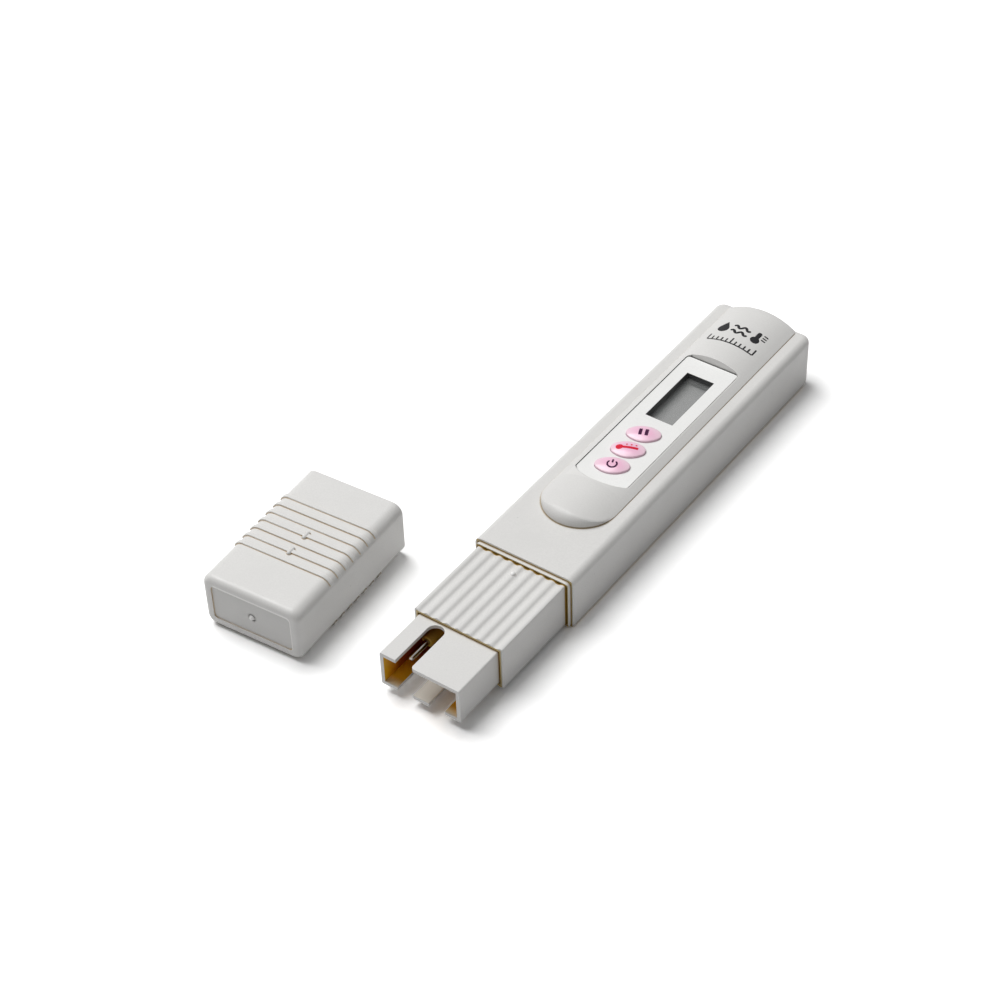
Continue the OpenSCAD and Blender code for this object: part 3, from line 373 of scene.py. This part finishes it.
def edge_highlight_mask():
    """Where an edge is, where the finishes paint a highlight: there the normal of a rounded edge leans away
    from the face's own normal.
    """
    group, given, out = effect("edge_highlight_mask", {"Radius": 0.42 * MM}, ("Mask",))
    rounded = put(group, "Bevel", {"Radius": given["Radius"]}, samples=8).outputs[0]
    own = put(group, "NewGeometry").outputs["Normal"]
    match = vector(group, "DOT_PRODUCT", rounded, own)
    group.links.new(spread(group, match, 0.985, 0.88, 0.0, 1.0), out["Mask"])
    return group


def drawn_lines():
    """Fine lines along Y left by drawing or brushing metal: noise stretched along that axis."""
    group, given, out = effect("drawn_lines", {"Lines": 9000.0, "Length": 250.0}, ("Relief",))
    scale = put(group, "CombineXYZ", {0: given["Lines"], 1: given["Length"], 2: given["Lines"]}).outputs[0]
    where = vector(group, "MULTIPLY", spot(group), scale)
    group.links.new(noise(group, where, 1.0, 3.0), out["Relief"])
    return group


GRAIN = moulded_grain()
DUST = dust()
CREVICE = crevice()
EDGES = edge_highlight_mask()
LINES = drawn_lines()


def use(tree, group, **values):
    """Places a node group with its own values."""
    node = tree.nodes.new("ShaderNodeGroup")
    node.node_tree = group
    for key, value in values.items():
        node.inputs[key].default_value = value
    return node.outputs


# Marks that go over the colour of a finish: painted shade, shadow, highlight and amber light

def window_wall_shade(tree, tone):
    """Painted shade on the walls of the display opening, over the colour of the rest."""
    x, y, z = parts(tree, spot(tree))
    wall = product(tree, above(tree, z, LABEL_Z - WINDOW_DEPTH),
                   below(tree, off(tree, x), WINDOW_HALF[0] + WALL_SKIN),
                   below(tree, off(tree, y, WINDOW_Y), WINDOW_HALF[1] + WALL_SKIN))
    # Painted shade on the walls of the opening.
    return between(tree, wall, tone, rgba(*WINDOW_WALL_SHADE))


def panel_walls(tree, tone):
    """Painted shadow in the gap on the label's left and at its far end, none on its right, painted shade in
    the crease round the end of the panel, and painted shade on the walls of the display opening."""
    reach = 0.6 * MM
    crease_y = LABEL_Y - 8 * MM
    x, y, z = parts(tree, spot(tree))
    beside = product(tree, below(tree, off(tree, x), LABEL_HALF + reach),
                     below(tree, off(tree, y, LABEL_Y + LABEL_LEN / 2), LABEL_LEN / 2 + reach),
                     above(tree, z, LABEL_Z - reach))
    # Painted shadow in the label's gap, on its left and far end only.
    gap = between(tree, use(tree, CREVICE)["Mask"], rgba(*HOUSING), rgba(*LABEL_GAP_SHADOW))
    wall = between(tree, above(tree, x, LABEL_HALF - reach), gap, rgba(*HOUSING))
    # Painted shade in the crease round the panel's end.
    crease = product(tree, below(tree, y, crease_y), above(tree, z, CREASE_Z), use(tree, CREVICE)["Mask"])
    tone = between(tree, crease, tone, rgba(*CREASE_SHADE))
    return window_wall_shade(tree, between(tree, beside, tone, wall))


def neck_marks(tree, tone):
    """Neck: a painted highlight on the nub, and painted brown shade at the root where the neck goes into the
    collar.
    """
    nub_r, nub_rim = 0.6 * MM, 0.75 * MM
    root_start, root_full = COLLAR_TIP_Y - 0.4 * MM, COLLAR_TIP_Y - 0.2 * MM
    away = vector(tree, "DISTANCE", spot(tree), NUB)
    # Painted highlight on the nub.
    tone = between(tree, spread(tree, away, nub_rim, nub_r, 0.0, 1.0), tone, rgba(*HIGHLIGHT_PALE))
    # Painted brown shade at the neck's root.
    root = spread(tree, parts(tree, spot(tree))[1], root_start, root_full, 0.0, 1.0)
    return between(tree, root, tone, rgba(*ROOT_SHADE))


def cap_panel(tree, tone):
    """Cap: on its closed end painted shade in the recess, a painted highlight along the recess's upper and
    right edge and a disc about the gate in a painted grey shade instead of the brown crevice shade, and
    painted shadow in the gaps between the ribs under it. The highlight line is where the distance from a
    rounded rectangle, taken about the gate, is nought."""
    end_depth = 0.6 * MM
    corner = 0.7 * MM
    line_half, line_rim = 0.18 * MM, 0.34 * MM
    gate_disc_r = 1.4 * MM
    low_z, low_rim_z = 2.2 * MM, 3.0 * MM
    near = vector(tree, "SUBTRACT", spot(tree), CAP_GATE)
    own = put(tree, "Mapping", {"Vector": near, "Rotation": (0, 0, -CAP_YAW)}).outputs[0]
    x, y, z = parts(tree, own)
    straight = (CAP_PANEL_HALF[0] - CAP_PANEL_R, 1.0, CAP_PANEL_HALF[1] - CAP_PANEL_R)
    past = vector(tree, "SUBTRACT", vector(tree, "ABSOLUTE", own), straight)
    round_off = vector(tree, "LENGTH", vector(tree, "MAXIMUM", past, (0, 0, 0)))
    away = calc(tree, "SUBTRACT", round_off, CAP_PANEL_R)
    on_end = below(tree, y, end_depth)
    # Painted shade in the recess of the closed end.
    recess = product(tree, on_end, below(tree, away, 0.0), 0.5)
    tone = between(tree, recess, tone, dimmed(HOUSING, 0.78))
    # Painted highlight along the recess's upper and right edge.
    lit = product(tree, on_end, above(tree, x, corner - CAP_PANEL_HALF[0]),
                  above(tree, z, corner - CAP_PANEL_HALF[1]),
                  spread(tree, off(tree, away), line_half, line_rim, 0.8, 0.0))
    tone = between(tree, lit, tone, rgba(*LIT_EDGE))
    # Painted grey shade about the gate, in place of the brown crevice shade.
    gate_disc = below(tree, vector(tree, "LENGTH", own), gate_disc_r)
    tone = between(tree, gate_disc, tone, dimmed(HOUSING, 0.8))
    # Painted shadow in the gaps between the ribs under the cap.
    low = spread(tree, parts(tree, spot(tree))[2], low_z, low_rim_z, 1.0, 0.0)
    return between(tree, product(tree, use(tree, CREVICE)["Mask"], low), tone, rgba(*RIB_GAP_SHADOW))


def amber(tree, tone):
    """Painted amber light and shade inside the shroud, for light that went through the probe's plastic: amber
    at once on its side walls, later on its floor and last on the middle tab, and painted darker with the
    distance from the tip."""
    tab_rim, tab_delay, side_lead = 0.2 * MM, -0.45, 0.36
    x, y, z = parts(tree, spot(tree))
    inside = product(tree, below(tree, off(tree, x), SHROUD_HALF[0] + WALL_SKIN),
                     below(tree, off(tree, z, PROBE_Z), SHROUD_HALF[1] + WALL_SKIN))
    facing = parts(tree, put(tree, "TexCoord").outputs["Normal"])[0]
    side = spread(tree, off(tree, facing), 0.3, 0.8, 0.0, side_lead)
    tab = spread(tree, off(tree, x), TAB_HALF, TAB_HALF + tab_rim, tab_delay, 0.0)
    depth = spread(tree, y, SHROUD_TIP_Y, SHROUD_TIP_Y + AMBER_LEN, 0.0, 1.0)
    ramp = put(tree, "ValToRGB", {0: calc(tree, "ADD", depth, calc(tree, "ADD", side, tab))})
    stops = ramp.color_ramp.elements
    stops[0].color, stops[1].color = rgba(*AMBER[0][1]), rgba(*AMBER[-1][1])
    for place, colour in AMBER[1:-1]:
        stops.new(place).color = rgba(*colour)
    return between(tree, inside, tone, ramp.outputs[0])


def shaded_end_face(tree, tone, groove):
    """Painted brown shade on an end face, given as its Y, the half width and the height that the painted
    shade reaches.
    """
    front, half, top = groove
    x, y, z = parts(tree, spot(tree))
    on_face = product(tree, below(tree, off(tree, x), half), below(tree, z, top),
                      below(tree, y, front + FACE_SKIN))
    # Painted brown shade of the gap in front of the end face.
    return between(tree, on_face, tone, rgba(*END_FACE_SHADE))


def tongue_softness(tree):
    """Radius that softens edges: wide on the panel's rounded end, and small elsewhere."""
    wide, end_y = 1.1 * MM, LABEL_Y - 2 * MM
    _, y, z = parts(tree, spot(tree))
    end = product(tree, below(tree, y, end_y), above(tree, z, TONGUE_TOP_Z))
    return spread(tree, end, 0.0, 1.0, EDGE_R, wide)


# Finishes

def new_material(name):
    """New material: itself, its tree and its main shader."""
    material = bpy.data.materials.new(name)
    material.use_nodes = True
    return material, material.node_tree, material.node_tree.nodes["Principled BSDF"]


def soft_edges(tree, shader, relief, depth, radius):
    """Normal with a small bump and with edges rounded by a radius."""
    edge = put(tree, "Bevel", {"Radius": radius}, samples=6).outputs[0]
    bump = put(tree, "Bump", {"Height": relief, "Strength": 0.6, "Distance": depth, "Normal": edge})
    tree.links.new(bump.outputs[0], shader.inputs["Normal"])


def plastic(name, colour, rough=0.45, relief=0.02 * MM, edge=0.12 * MM, crevice_shade=None, rim=0.0, overlay=None):
    """Moulded plastic: clouds of shade, a mottle, specks of dust, a fine grain, soft edges with a painted
    highlight on them and painted brown shade in narrow gaps. The edge is a radius or a function that gives
    one. The overlay changes the colour last."""
    material, tree, shader = new_material(name)
    skin = use(tree, GRAIN, Grain=4500.0)
    tone = between(tree, skin["Shade"], dimmed(colour, 0.95), rgba(*colour))
    tone = between(tree, product(tree, skin["Mottle"], 0.6), tone, dimmed(colour, 0.93))
    tone = between(tree, use(tree, DUST)["Mask"], tone, dimmed(colour, 0.82))
    # Painted highlight: a paler colour on the edges.
    if rim:
        tone = between(tree, product(tree, use(tree, EDGES)["Mask"], rim), tone, rgba(*HIGHLIGHT_PALE))
    # Painted shade: brown in narrow gaps, where the sky above is hidden.
    if crevice_shade:
        tone = between(tree, use(tree, CREVICE)["Mask"], tone, rgba(*crevice_shade))
    if overlay:
        tone = overlay(tree, tone)
    tree.links.new(tone, shader.inputs["Base Color"])
    tree.links.new(spread(tree, skin["Gloss"], 0, 1, rough - 0.06, rough + 0.06), shader.inputs["Roughness"])
    soft_edges(tree, shader, skin["Relief"], relief, edge(tree) if callable(edge) else edge)
    return material


def shell(name, overlay=None, groove=None, edge=EDGE_R):
    """Plastic of the housing, with a painted highlight on its edges, painted brown shade in its gaps, marks
    of its own and painted brown shade on an end face.
    """
    def painted_marks(tree, tone):
        if overlay:
            tone = overlay(tree, tone)
        if groove:
            tone = shaded_end_face(tree, tone, groove)
        return tone
    return plastic(name, HOUSING, edge=edge, crevice_shade=CREVICE_SHADE_BROWN, rim=0.8, overlay=painted_marks)


def metal(name, colour, rough=0.3, relief=0.004 * MM, lines=9000.0):
    """Drawn or rolled metal: lines along Y in its relief and gloss, and clouds of tarnish."""
    material, tree, shader = new_material(name)
    mark = use(tree, LINES, Lines=lines)["Relief"]
    skin = use(tree, GRAIN, Clouds=180.0)
    tone = between(tree, skin["Shade"], dimmed(colour, 0.8), rgba(*colour))
    tree.links.new(tone, shader.inputs["Base Color"])
    tree.links.new(spread(tree, mark, 0.3, 0.7, rough - 0.08, rough + 0.12), shader.inputs["Roughness"])
    shader.inputs["Metallic"].default_value = 1.0
    soft_edges(tree, shader, mark, relief, 0.06 * MM)
    return material


def key_plastic(key_y):
    """Glossy key: deep pink in the middle and paler at the rim, by the distance from the key's own centre."""
    material, tree, shader = new_material("key_pink_%d" % round((key_y - MOUTH_Y) / MM))
    near = put(tree, "Mapping", {"Vector": spot(tree), "Location": (0, -key_y, 0)}).outputs[0]
    scale = (1 / KEY_HALF[0], 1 / KEY_HALF[1], 0)
    turned = put(tree, "Mapping", {"Vector": near, "Rotation": (0, 0, -KEY_TURN), "Scale": scale}).outputs[0]
    rim = spread(tree, vector(tree, "LENGTH", turned), 0.45, 1.0, 0.0, 1.0)
    skin = use(tree, GRAIN, Grain=5200.0)
    tone = between(tree, rim, rgba(0.92, 0.52, 0.70), rgba(0.93, 0.66, 0.77))
    tone = between(tree, product(tree, skin["Shade"], 0.15), tone, rgba(0.94, 0.66, 0.78))
    tree.links.new(tone, shader.inputs["Base Color"])
    tree.links.new(spread(tree, skin["Gloss"], 0, 1, 0.3, 0.4), shader.inputs["Roughness"])
    shader.inputs["Coat Weight"].default_value = 0.35
    shader.inputs["Coat Roughness"].default_value = 0.15
    soft_edges(tree, shader, skin["Relief"], 0.004 * MM, 0.55 * MM)
    return material


def display_glass():
    """Liquid-crystal glass, switched off: an even grey with faint clouds and a slightly soft gloss."""
    material, tree, shader = new_material("display_glass")
    skin = use(tree, GRAIN, Grain=16000.0, Clouds=120.0)
    tone = between(tree, skin["Shade"], rgba(0.25, 0.25, 0.247), rgba(0.27, 0.27, 0.267))
    tree.links.new(tone, shader.inputs["Base Color"])
    tree.links.new(spread(tree, skin["Gloss"], 0, 1, 0.3, 0.4), shader.inputs["Roughness"])
    return material


def clear_pane():
    """Clear plastic pane, seen mostly by its gloss."""
    material, tree, shader = new_material("clear_pane")
    skin = use(tree, GRAIN)
    tree.links.new(spread(tree, skin["Gloss"], 0, 1, 0.03, 0.08), shader.inputs["Roughness"])
    shader.inputs["Base Color"].default_value = rgba(0.9, 0.93, 0.92)
    shader.inputs["Alpha"].default_value = 0.08
    return material


def board_tracks(tree, along, across):
    """Where straight tracks run: in the middle of each lane, on the stretches that chance picks."""
    lane = calc(tree, "SNAP", across, TRACK_PITCH)
    stretch = calc(tree, "SNAP", along, TRACK_LEN)
    cell = put(tree, "CombineXYZ", {0: lane, 1: stretch}).outputs[0]
    chance = put(tree, "TexWhiteNoise", {"Vector": cell}, noise_dimensions="2D").outputs["Value"]
    aside = off(tree, calc(tree, "SUBTRACT", across, lane), TRACK_PITCH / 2)
    return product(tree, below(tree, aside, TRACK_HALF), above(tree, chance, 0.5))


def board_mask():
    """Circuit board: green mask with paler copper tracks under it, along the board and across it."""
    material, tree, shader = new_material("board_mask")
    x, y, _ = parts(tree, spot(tree))
    track = calc(tree, "MAXIMUM", board_tracks(tree, y, x), board_tracks(tree, x, y))
    skin = use(tree, GRAIN)
    ground = between(tree, skin["Shade"], rgba(0.015, 0.10, 0.045), rgba(0.02, 0.13, 0.06))
    tree.links.new(between(tree, track, ground, rgba(0.05, 0.24, 0.10)), shader.inputs["Base Color"])
    tree.links.new(spread(tree, skin["Gloss"], 0, 1, 0.25, 0.38), shader.inputs["Roughness"])
    bump = put(tree, "Bump", {"Height": track, "Strength": 0.5, "Distance": 0.03 * MM})
    tree.links.new(bump.outputs[0], shader.inputs["Normal"])
    return material


def print_ink(name, colour):
    """Screen-printed ink: a matt colour with a faint mottle."""
    material = plastic(name, colour, rough=0.6, relief=0.003 * MM, edge=0.01 * MM)
    material.node_tree.nodes["Principled BSDF"].inputs["Specular IOR Level"].default_value = 0.15
    return material


FINISHES = {
    "housing": shell("housing_plastic", panel_walls, MOUTH_GROOVE, tongue_softness),
    "label": plastic("label_plate", (0.93, 0.93, 0.915), rough=0.4, relief=0.006 * MM, edge=0.04 * MM,
                     overlay=window_wall_shade),
    "clear_pane": clear_pane(),
    # Painted shade and amber light: the carrier takes the dark amber that its plastic shows deep inside the
    # probe.
    "carrier": plastic("carrier_amber_shade", (0.54, 0.33, 0.045)),
    "electrode": metal("electrode_metal", (0.46, 0.44, 0.41), rough=0.1),
    "board": board_mask(),
    "dark_plastic": plastic("dark_plastic", (0.035, 0.035, 0.04), rough=0.4),
    "display": display_glass(),
    "reflector": metal("reflector_film", (0.62, 0.63, 0.61), rough=0.4),
    "contact_rubber": plastic("contact_rubber", (0.10, 0.10, 0.11), rough=0.7),
    "steel": metal("bright_steel", (0.60, 0.60, 0.59), rough=0.28),
    "resin": plastic("potting_resin", (0.012, 0.012, 0.014), rough=0.22),
    "chip_parts": plastic("chip_ceramic", (0.20, 0.14, 0.09), rough=0.5),
    "cell_steel": metal("cell_can", (0.66, 0.66, 0.65), rough=0.24),
    "contact_brass": metal("spring_brass", (0.74, 0.58, 0.24), rough=0.3),
    "trimmer": plastic("trimmer_blue", (0.03, 0.10, 0.34), rough=0.35),
    "rotor": plastic("rotor_plastic", (0.72, 0.69, 0.60), rough=0.45),
}
OWN_FINISH = {
    "key_power": key_plastic(KEY_Y[0]),
    "key_temp": key_plastic(KEY_Y[1]),
    "key_hold": key_plastic(KEY_Y[2]),
    "probe_shroud": shell("shroud_plastic", amber),
    "mouth_collar": shell("collar_plastic", groove=COLLAR_GROOVE),
    "probe_neck": shell("neck_plastic", neck_marks, NECK_GROOVE),
    "cap_shell": shell("cap_plastic", cap_panel),
}
# Painted highlight: the gate's stub is paler than the housing to stand in for its glint.
GATE_PLASTIC = plastic("gate_plastic", HIGHLIGHT_PALE, rough=0.2, relief=0.004 * MM)
SOLDER = metal("solder", (0.68, 0.68, 0.66), rough=0.3, lines=2500.0)
DARK_INK = print_ink("ink_dark", (0.02, 0.02, 0.022))
PLUM_INK = print_ink("ink_plum", (0.055, 0.006, 0.045))
RED_INK = print_ink("ink_red", (0.75, 0.02, 0.05))

for row in frame["record"]["subparts"]:
    chosen = OWN_FINISH.get(row["node"]) or FINISHES[row["material_slot"]]
    node = NODES[row["node"]]
    node.data.materials.clear()
    node.data.materials.append(chosen)


# Lines and outlines of the signs

def arc(centre, radius, start, end, count=48):
    """Points of an arc, from one angle in degrees to another."""
    turn = np.radians(np.linspace(start, end, count))
    return np.stack([centre[0] + radius * np.cos(turn), centre[1] + radius * np.sin(turn)], -1)


def line(x0, y0, x1, y1, count=12):
    """Points of a straight line."""
    return np.stack([np.linspace(x0, x1, count), np.linspace(y0, y1, count)], -1)


def wave(x0, x1, y, swing, length, count=60):
    """Points of a sine wave."""
    x = np.linspace(x0, x1, count)
    return np.stack([x, y + swing * np.sin((x - x0) * 2 * math.pi / length)], -1)


def drop_outline(size, height):
    """Outline of a drop by its radius: a circle, and two lines from it that meet at a tip."""
    lean = math.acos(size / height)

    def outline(turn):
        aside = np.abs(turn - math.pi / 2)
        return np.where(aside < lean, size / np.cos(lean - np.minimum(aside, lean)), size)
    return outline


# Signs on the keys, with sizes in millimetres about the key's centre

def key_crown(key_y):
    """Height of a key's crown: an arc across it, carried along a longer arc, both turned with the key."""
    def ground(x, y):
        long = x * math.cos(KEY_TURN) + (y - key_y) * math.sin(KEY_TURN)
        short = (y - key_y) * math.cos(KEY_TURN) - x * math.sin(KEY_TURN)
        reach = CROWN_LONG_R - CROWN_SHORT_R + np.sqrt(CROWN_SHORT_R ** 2 - short ** 2)
        return CROWN_Z - CROWN_LONG_R + np.sqrt(reach ** 2 - long ** 2)
    return ground


def on_key(points, key_y):
    """Carries points of a sign, in millimetres, onto a key."""
    points = np.asarray(points) * MM
    cos, sin = math.cos(KEY_TURN), math.sin(KEY_TURN)
    return points @ np.array([[cos, sin], [-sin, cos]]) + [0, key_y]


def key_sign(name, paths, discs, ink, key_y, body):
    """Sign on one key: its lines, and its discs given as x, y and radius."""
    ground = key_crown(key_y)
    skins = [stroke(on_key(path, key_y), LINE_HALF, ground) for path in paths]
    for x, y, radius in discs:
        skins.append(blot(on_key([[x, y]], key_y)[0], round_outline(radius * MM), ground))
    return piece(name, skins, ink, body)


def power_sign():
    """Ring that is open at the top, with a line in the opening."""
    ring_y, ring_r, opening = -0.2, 1.2, 38
    paths = [arc((0, ring_y), ring_r, 90 + opening, 450 - opening), line(0, 0.1, 0, 1.6)]
    return key_sign("sign_power", paths, [], PLUM_INK, KEY_Y[0], "power_key")


def temperature_sign():
    """Thermometer that lies along the key: a bulb, a tube of two lines and three ticks beside it."""
    bulb_x, bulb_r, tip_x, tube_half = -2.2, 0.95, 2.6, 0.18
    tick_low, tick_high = 0.85, 1.45
    tube = [line(bulb_x, y, tip_x, y) for y in (-tube_half, tube_half)]
    ticks = [line(x, tick_low, x, tick_high) for x in (-0.5, 0.7, 1.9)]
    return key_sign("sign_temperature", tube + ticks, [(bulb_x, 0, bulb_r)], RED_INK, KEY_Y[1], "temp_key")


def hold_sign():
    """Two upright bars, each of two lines side by side."""
    bar_x, bar_half, line_x = 0.8, 1.2, 0.2
    paths = [line(x + dx, -bar_half, x + dx, bar_half) for x in (-bar_x, bar_x) for dx in (-line_x, line_x)]
    return key_sign("sign_hold", paths, [], PLUM_INK, KEY_Y[2], "hold_key")


# Signs on the panel

def panel_arch(x, y):
    """Height of the panel: one arc across it."""
    return CREST_Z - ARCH_R + np.sqrt(ARCH_R ** 2 - x ** 2) + 0 * y


def panel_thermometer(tube_x, middle_y):
    """Thermometer that stands upright: a bulb, a tube and three ticks beside it."""
    bulb_y = middle_y - 1.0 * MM
    skins = [blot((tube_x, bulb_y), round_outline(1.25 * MM), panel_arch),
             stroke(line(tube_x, bulb_y, tube_x, middle_y + 2.4 * MM), 0.6 * MM, panel_arch)]
    for step in range(3):
        tick_y = middle_y + (0.3 + 0.9 * step) * MM
        tick = line(tube_x + 1.1 * MM, tick_y, tube_x + 2.4 * MM, tick_y)
        skins.append(stroke(tick, THIN_HALF, panel_arch))
    return skins


def panel_rule(rule_y):
    """Graduated rule: a long line, and ticks of which every fifth is taller."""
    start_x, end_x, pitch = -7.1 * MM, 6.4 * MM, 1.35 * MM
    skins = [stroke(line(start_x, rule_y, end_x, rule_y, 60), THIN_HALF, panel_arch)]
    for step in range(11):
        tick_x = start_x + step * pitch
        tall = (2.4 if step % 5 == 0 else 1.5) * MM
        skins.append(stroke(line(tick_x, rule_y, tick_x, rule_y + tall), THIN_HALF, panel_arch))
    return skins


def panel_signs():
    """Generic signs near the panel's end: a drop, two waves and a thermometer over a graduated rule."""
    signs_y = 99.6 * MM + MOUTH_Y
    rule_y = 93.5 * MM + MOUTH_Y
    drop_x, thermometer_x = -5.4 * MM, 4.2 * MM
    wave_half = 0.38 * MM
    skins = [blot((drop_x, signs_y - 0.7 * MM), drop_outline(1.55 * MM, 3.1 * MM), panel_arch)]
    for rise in (-1.05 * MM, 1.05 * MM):
        path = wave(-3.1 * MM, 1.9 * MM, signs_y + rise, 0.5 * MM, 2.5 * MM)
        skins.append(stroke(path, wave_half, panel_arch))
    skins += panel_thermometer(thermometer_x, signs_y) + panel_rule(rule_y)
    return piece("sign_panel", skins, DARK_INK, "housing")


# Gate mark on the cap, solder and plated ends on the board

def gate_mark():
    """Small stub that the mould's gate left on the cap's end. It is turned about the end's own axis: the
    radius is a circular arc over the rise, and a foot that dies out exponentially is added to it."""
    rise = np.linspace(-0.2, 0.98, 14)[:, None] * GATE_R
    radius = np.sqrt(GATE_R ** 2 - rise ** 2) + GATE_FOOT * np.exp(-np.maximum(rise, 0) / GATE_FOOT)
    turn = np.linspace(0, 2 * math.pi, 24, endpoint=False)
    side = np.array([math.cos(CAP_YAW), math.sin(CAP_YAW), 0])
    out = np.array([math.sin(CAP_YAW), -math.cos(CAP_YAW), 0])
    across = (radius * np.cos(turn))[..., None] * side
    upwards = (radius * np.sin(turn))[..., None] * [0, 0, 1]
    rings = CAP_GATE + across + upwards + rise[..., None] * out
    poles = [CAP_GATE + rise[0] * out, CAP_GATE + GATE_R * out]
    return piece("gate_mark", [sealed(rings, *poles)], GATE_PLASTIC, "cap")


def flat(height):
    """Level ground at one height."""
    return lambda x, y: height + 0 * (x + y)


def solder_joints():
    """Domes of solder: under the legs of the switches, beside the trimmer and over the pins' tails."""
    joint_r, joint_lift = 0.6 * MM, 0.5 * MM
    tail_r, tail_lift, tail_back = 1.5 * MM, 0.6 * MM, 0.8 * MM
    board_low, board_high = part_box("circuit_board")
    under, over = flat(board_low.z), flat(board_high.z)
    legs = [(side * SWITCH_LEG[0], key_y + end * SWITCH_LEG[1])
            for key_y in KEY_Y for side in (-1, 1) for end in (-1, 1)]
    free_legs = [leg for leg in legs if abs(leg[1] - HOLDER_Y) > HOLDER_HALF]
    skins = [blot(leg, round_outline(joint_r), under, joint_lift) for leg in free_legs]
    for step in (-1, 0, 1):
        leg = (step * TRIMMER_LEG_PITCH, TRIMMER_LEG_Y)
        skins.append(blot(leg, round_outline(joint_r), over, joint_lift))
    for node_name in ("electrode_pin_left", "electrode_pin_right"):
        low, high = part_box(node_name)
        tail = ((low.x + high.x) / 2, high.y - tail_back)
        skins.append(blot(tail, round_outline(tail_r), over, tail_lift))
    return piece("solder_joints", skins, SOLDER, "probe_module")


def plated_ends():
    """Plated ends of the chip parts: one soft block over each end of each part."""
    low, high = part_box("board_components")
    middle_z = low.z + 0.31 * MM
    skins = []
    for side in (-1, 1):
        for step in (-2, -1, 0, 1, 2):
            y = (low.y + high.y) / 2 + step * CHIP_PITCH
            for end in (-1, 1):
                middle = (side * CHIP_X + end * CHIP_END_X, y, middle_z)
                skins.append(block(middle, CHIP_END_HALF))
    return piece("plated_ends", skins, SOLDER, "probe_module")


power_sign()
temperature_sign()
hold_sign()
panel_signs()
gate_mark()
solder_joints()
plated_ends()


# Floor, lamp and camera

FLOOR_WHITE = 1.38
FLOOR_FADE = (0.3, 0.6)
WORLD_LIGHT = 0.215


def seen_directly(tree):
    """One where the camera, a reflection or clear plastic looks at it, and nought for other light."""
    path = put(tree, "LightPath").outputs
    most = calc(tree, "MAXIMUM", path["Is Camera Ray"], path["Is Glossy Ray"])
    return calc(tree, "MAXIMUM", most, path["Is Transmission Ray"])


def pale_floor():
    """Pale floor: a matt white that keeps the shadow, is paler still where it is looked at, and turns into
    the white of the surroundings far from the object."""
    half = 3.0
    mesh = bpy.data.meshes.new("floor")
    corners = np.array([[-1, -1, 0], [1, -1, 0], [1, 1, 0], [-1, 1, 0]]) * half
    mesh.from_pydata(corners, [], [[0, 1, 2, 3]])
    material = bpy.data.materials.new("floor_white")
    material.use_nodes = True
    tree = material.node_tree
    tree.nodes.clear()
    bounce = put(tree, "BsdfDiffuse", {"Color": rgba(0.8, 0.8, 0.8)}).outputs[0]
    paper = put(tree, "BsdfDiffuse", {"Color": rgba(FLOOR_WHITE, FLOOR_WHITE, FLOOR_WHITE)}).outputs[0]
    white = put(tree, "Emission", {"Color": rgba(1.0, 1.0, 1.0)}).outputs[0]
    far = spread(tree, vector(tree, "LENGTH", spot(tree)), *FLOOR_FADE, 0.0, 1.0)
    seen = put(tree, "MixShader", {0: far, 1: paper, 2: white}).outputs[0]
    mixed = put(tree, "MixShader", {0: seen_directly(tree), 1: bounce, 2: seen}).outputs[0]
    put(tree, "OutputMaterial", {"Surface": mixed})
    mesh.materials.append(material)
    made = bpy.data.objects.new("floor", mesh)
    bpy.context.scene.collection.objects.link(made)


def white_world():
    """White surroundings: white where they are looked at, and an even soft light for everything else."""
    world = bpy.data.worlds.new("white_world")
    bpy.context.scene.world = world
    world.use_nodes = True
    tree = world.node_tree
    tree.nodes.clear()
    soft = put(tree, "Background", {"Strength": WORLD_LIGHT}).outputs[0]
    white = put(tree, "Background", {"Strength": 1.0}).outputs[0]
    mixed = put(tree, "MixShader", {0: seen_directly(tree), 1: soft, 2: white}).outputs[0]
    put(tree, "OutputWorld", {"Surface": mixed})


def upright_axes(back):
    """Sideways and upward directions of something that looks along the reverse of the back direction."""
    side = np.cross([0, 0, 1], back)
    side /= np.linalg.norm(side)
    return side, np.cross(back, side)


def placed(made, side, up, back, place):
    """Puts a lamp or a camera into the scene, by its three directions and its place."""
    axes = np.stack([side, up, back], -1)
    made.matrix_world = Matrix(np.vstack([np.c_[axes, place], [0, 0, 0, 1]]).tolist())
    bpy.context.scene.collection.objects.link(made)


def lamp(name, direction, distance, size, power):
    """Square softbox that faces the middle of the object from one direction."""
    data = bpy.data.lights.new(name, "AREA")
    data.energy, data.size = power, size
    back = np.array(direction) / np.linalg.norm(direction)
    placed(bpy.data.objects.new(name, data), *upright_axes(back), back, back * distance)


def photo_camera():
    """Camera of the picture, by its place, its bearing, its height above the horizon and its roll."""
    place = [0.24504, -0.39044, 0.40753]
    bearing, height, roll = math.radians(36.92), math.radians(42.0), math.radians(-2.18)
    level = np.array([math.sin(bearing), -math.cos(bearing), 0])
    back = math.cos(height) * level + math.sin(height) * np.array([0, 0, 1])
    right, up = upright_axes(back)
    data = bpy.data.cameras.new("camera")
    data.sensor_width, data.lens = 36.0, 86.737
    data.clip_start, data.clip_end = 0.01, 20.0
    made = bpy.data.objects.new("camera", data)
    rolled_right = math.cos(roll) * right + math.sin(roll) * up
    rolled_up = math.cos(roll) * up - math.sin(roll) * right
    placed(made, rolled_right, rolled_up, back, place)
    bpy.context.scene.camera = made


pale_floor()
white_world()
lamp("key_lamp", direction=(-0.45, 0.0, 1.0), distance=1.2, size=0.8, power=13.0)
photo_camera()
bpy.context.scene.view_settings.view_transform = "Standard"
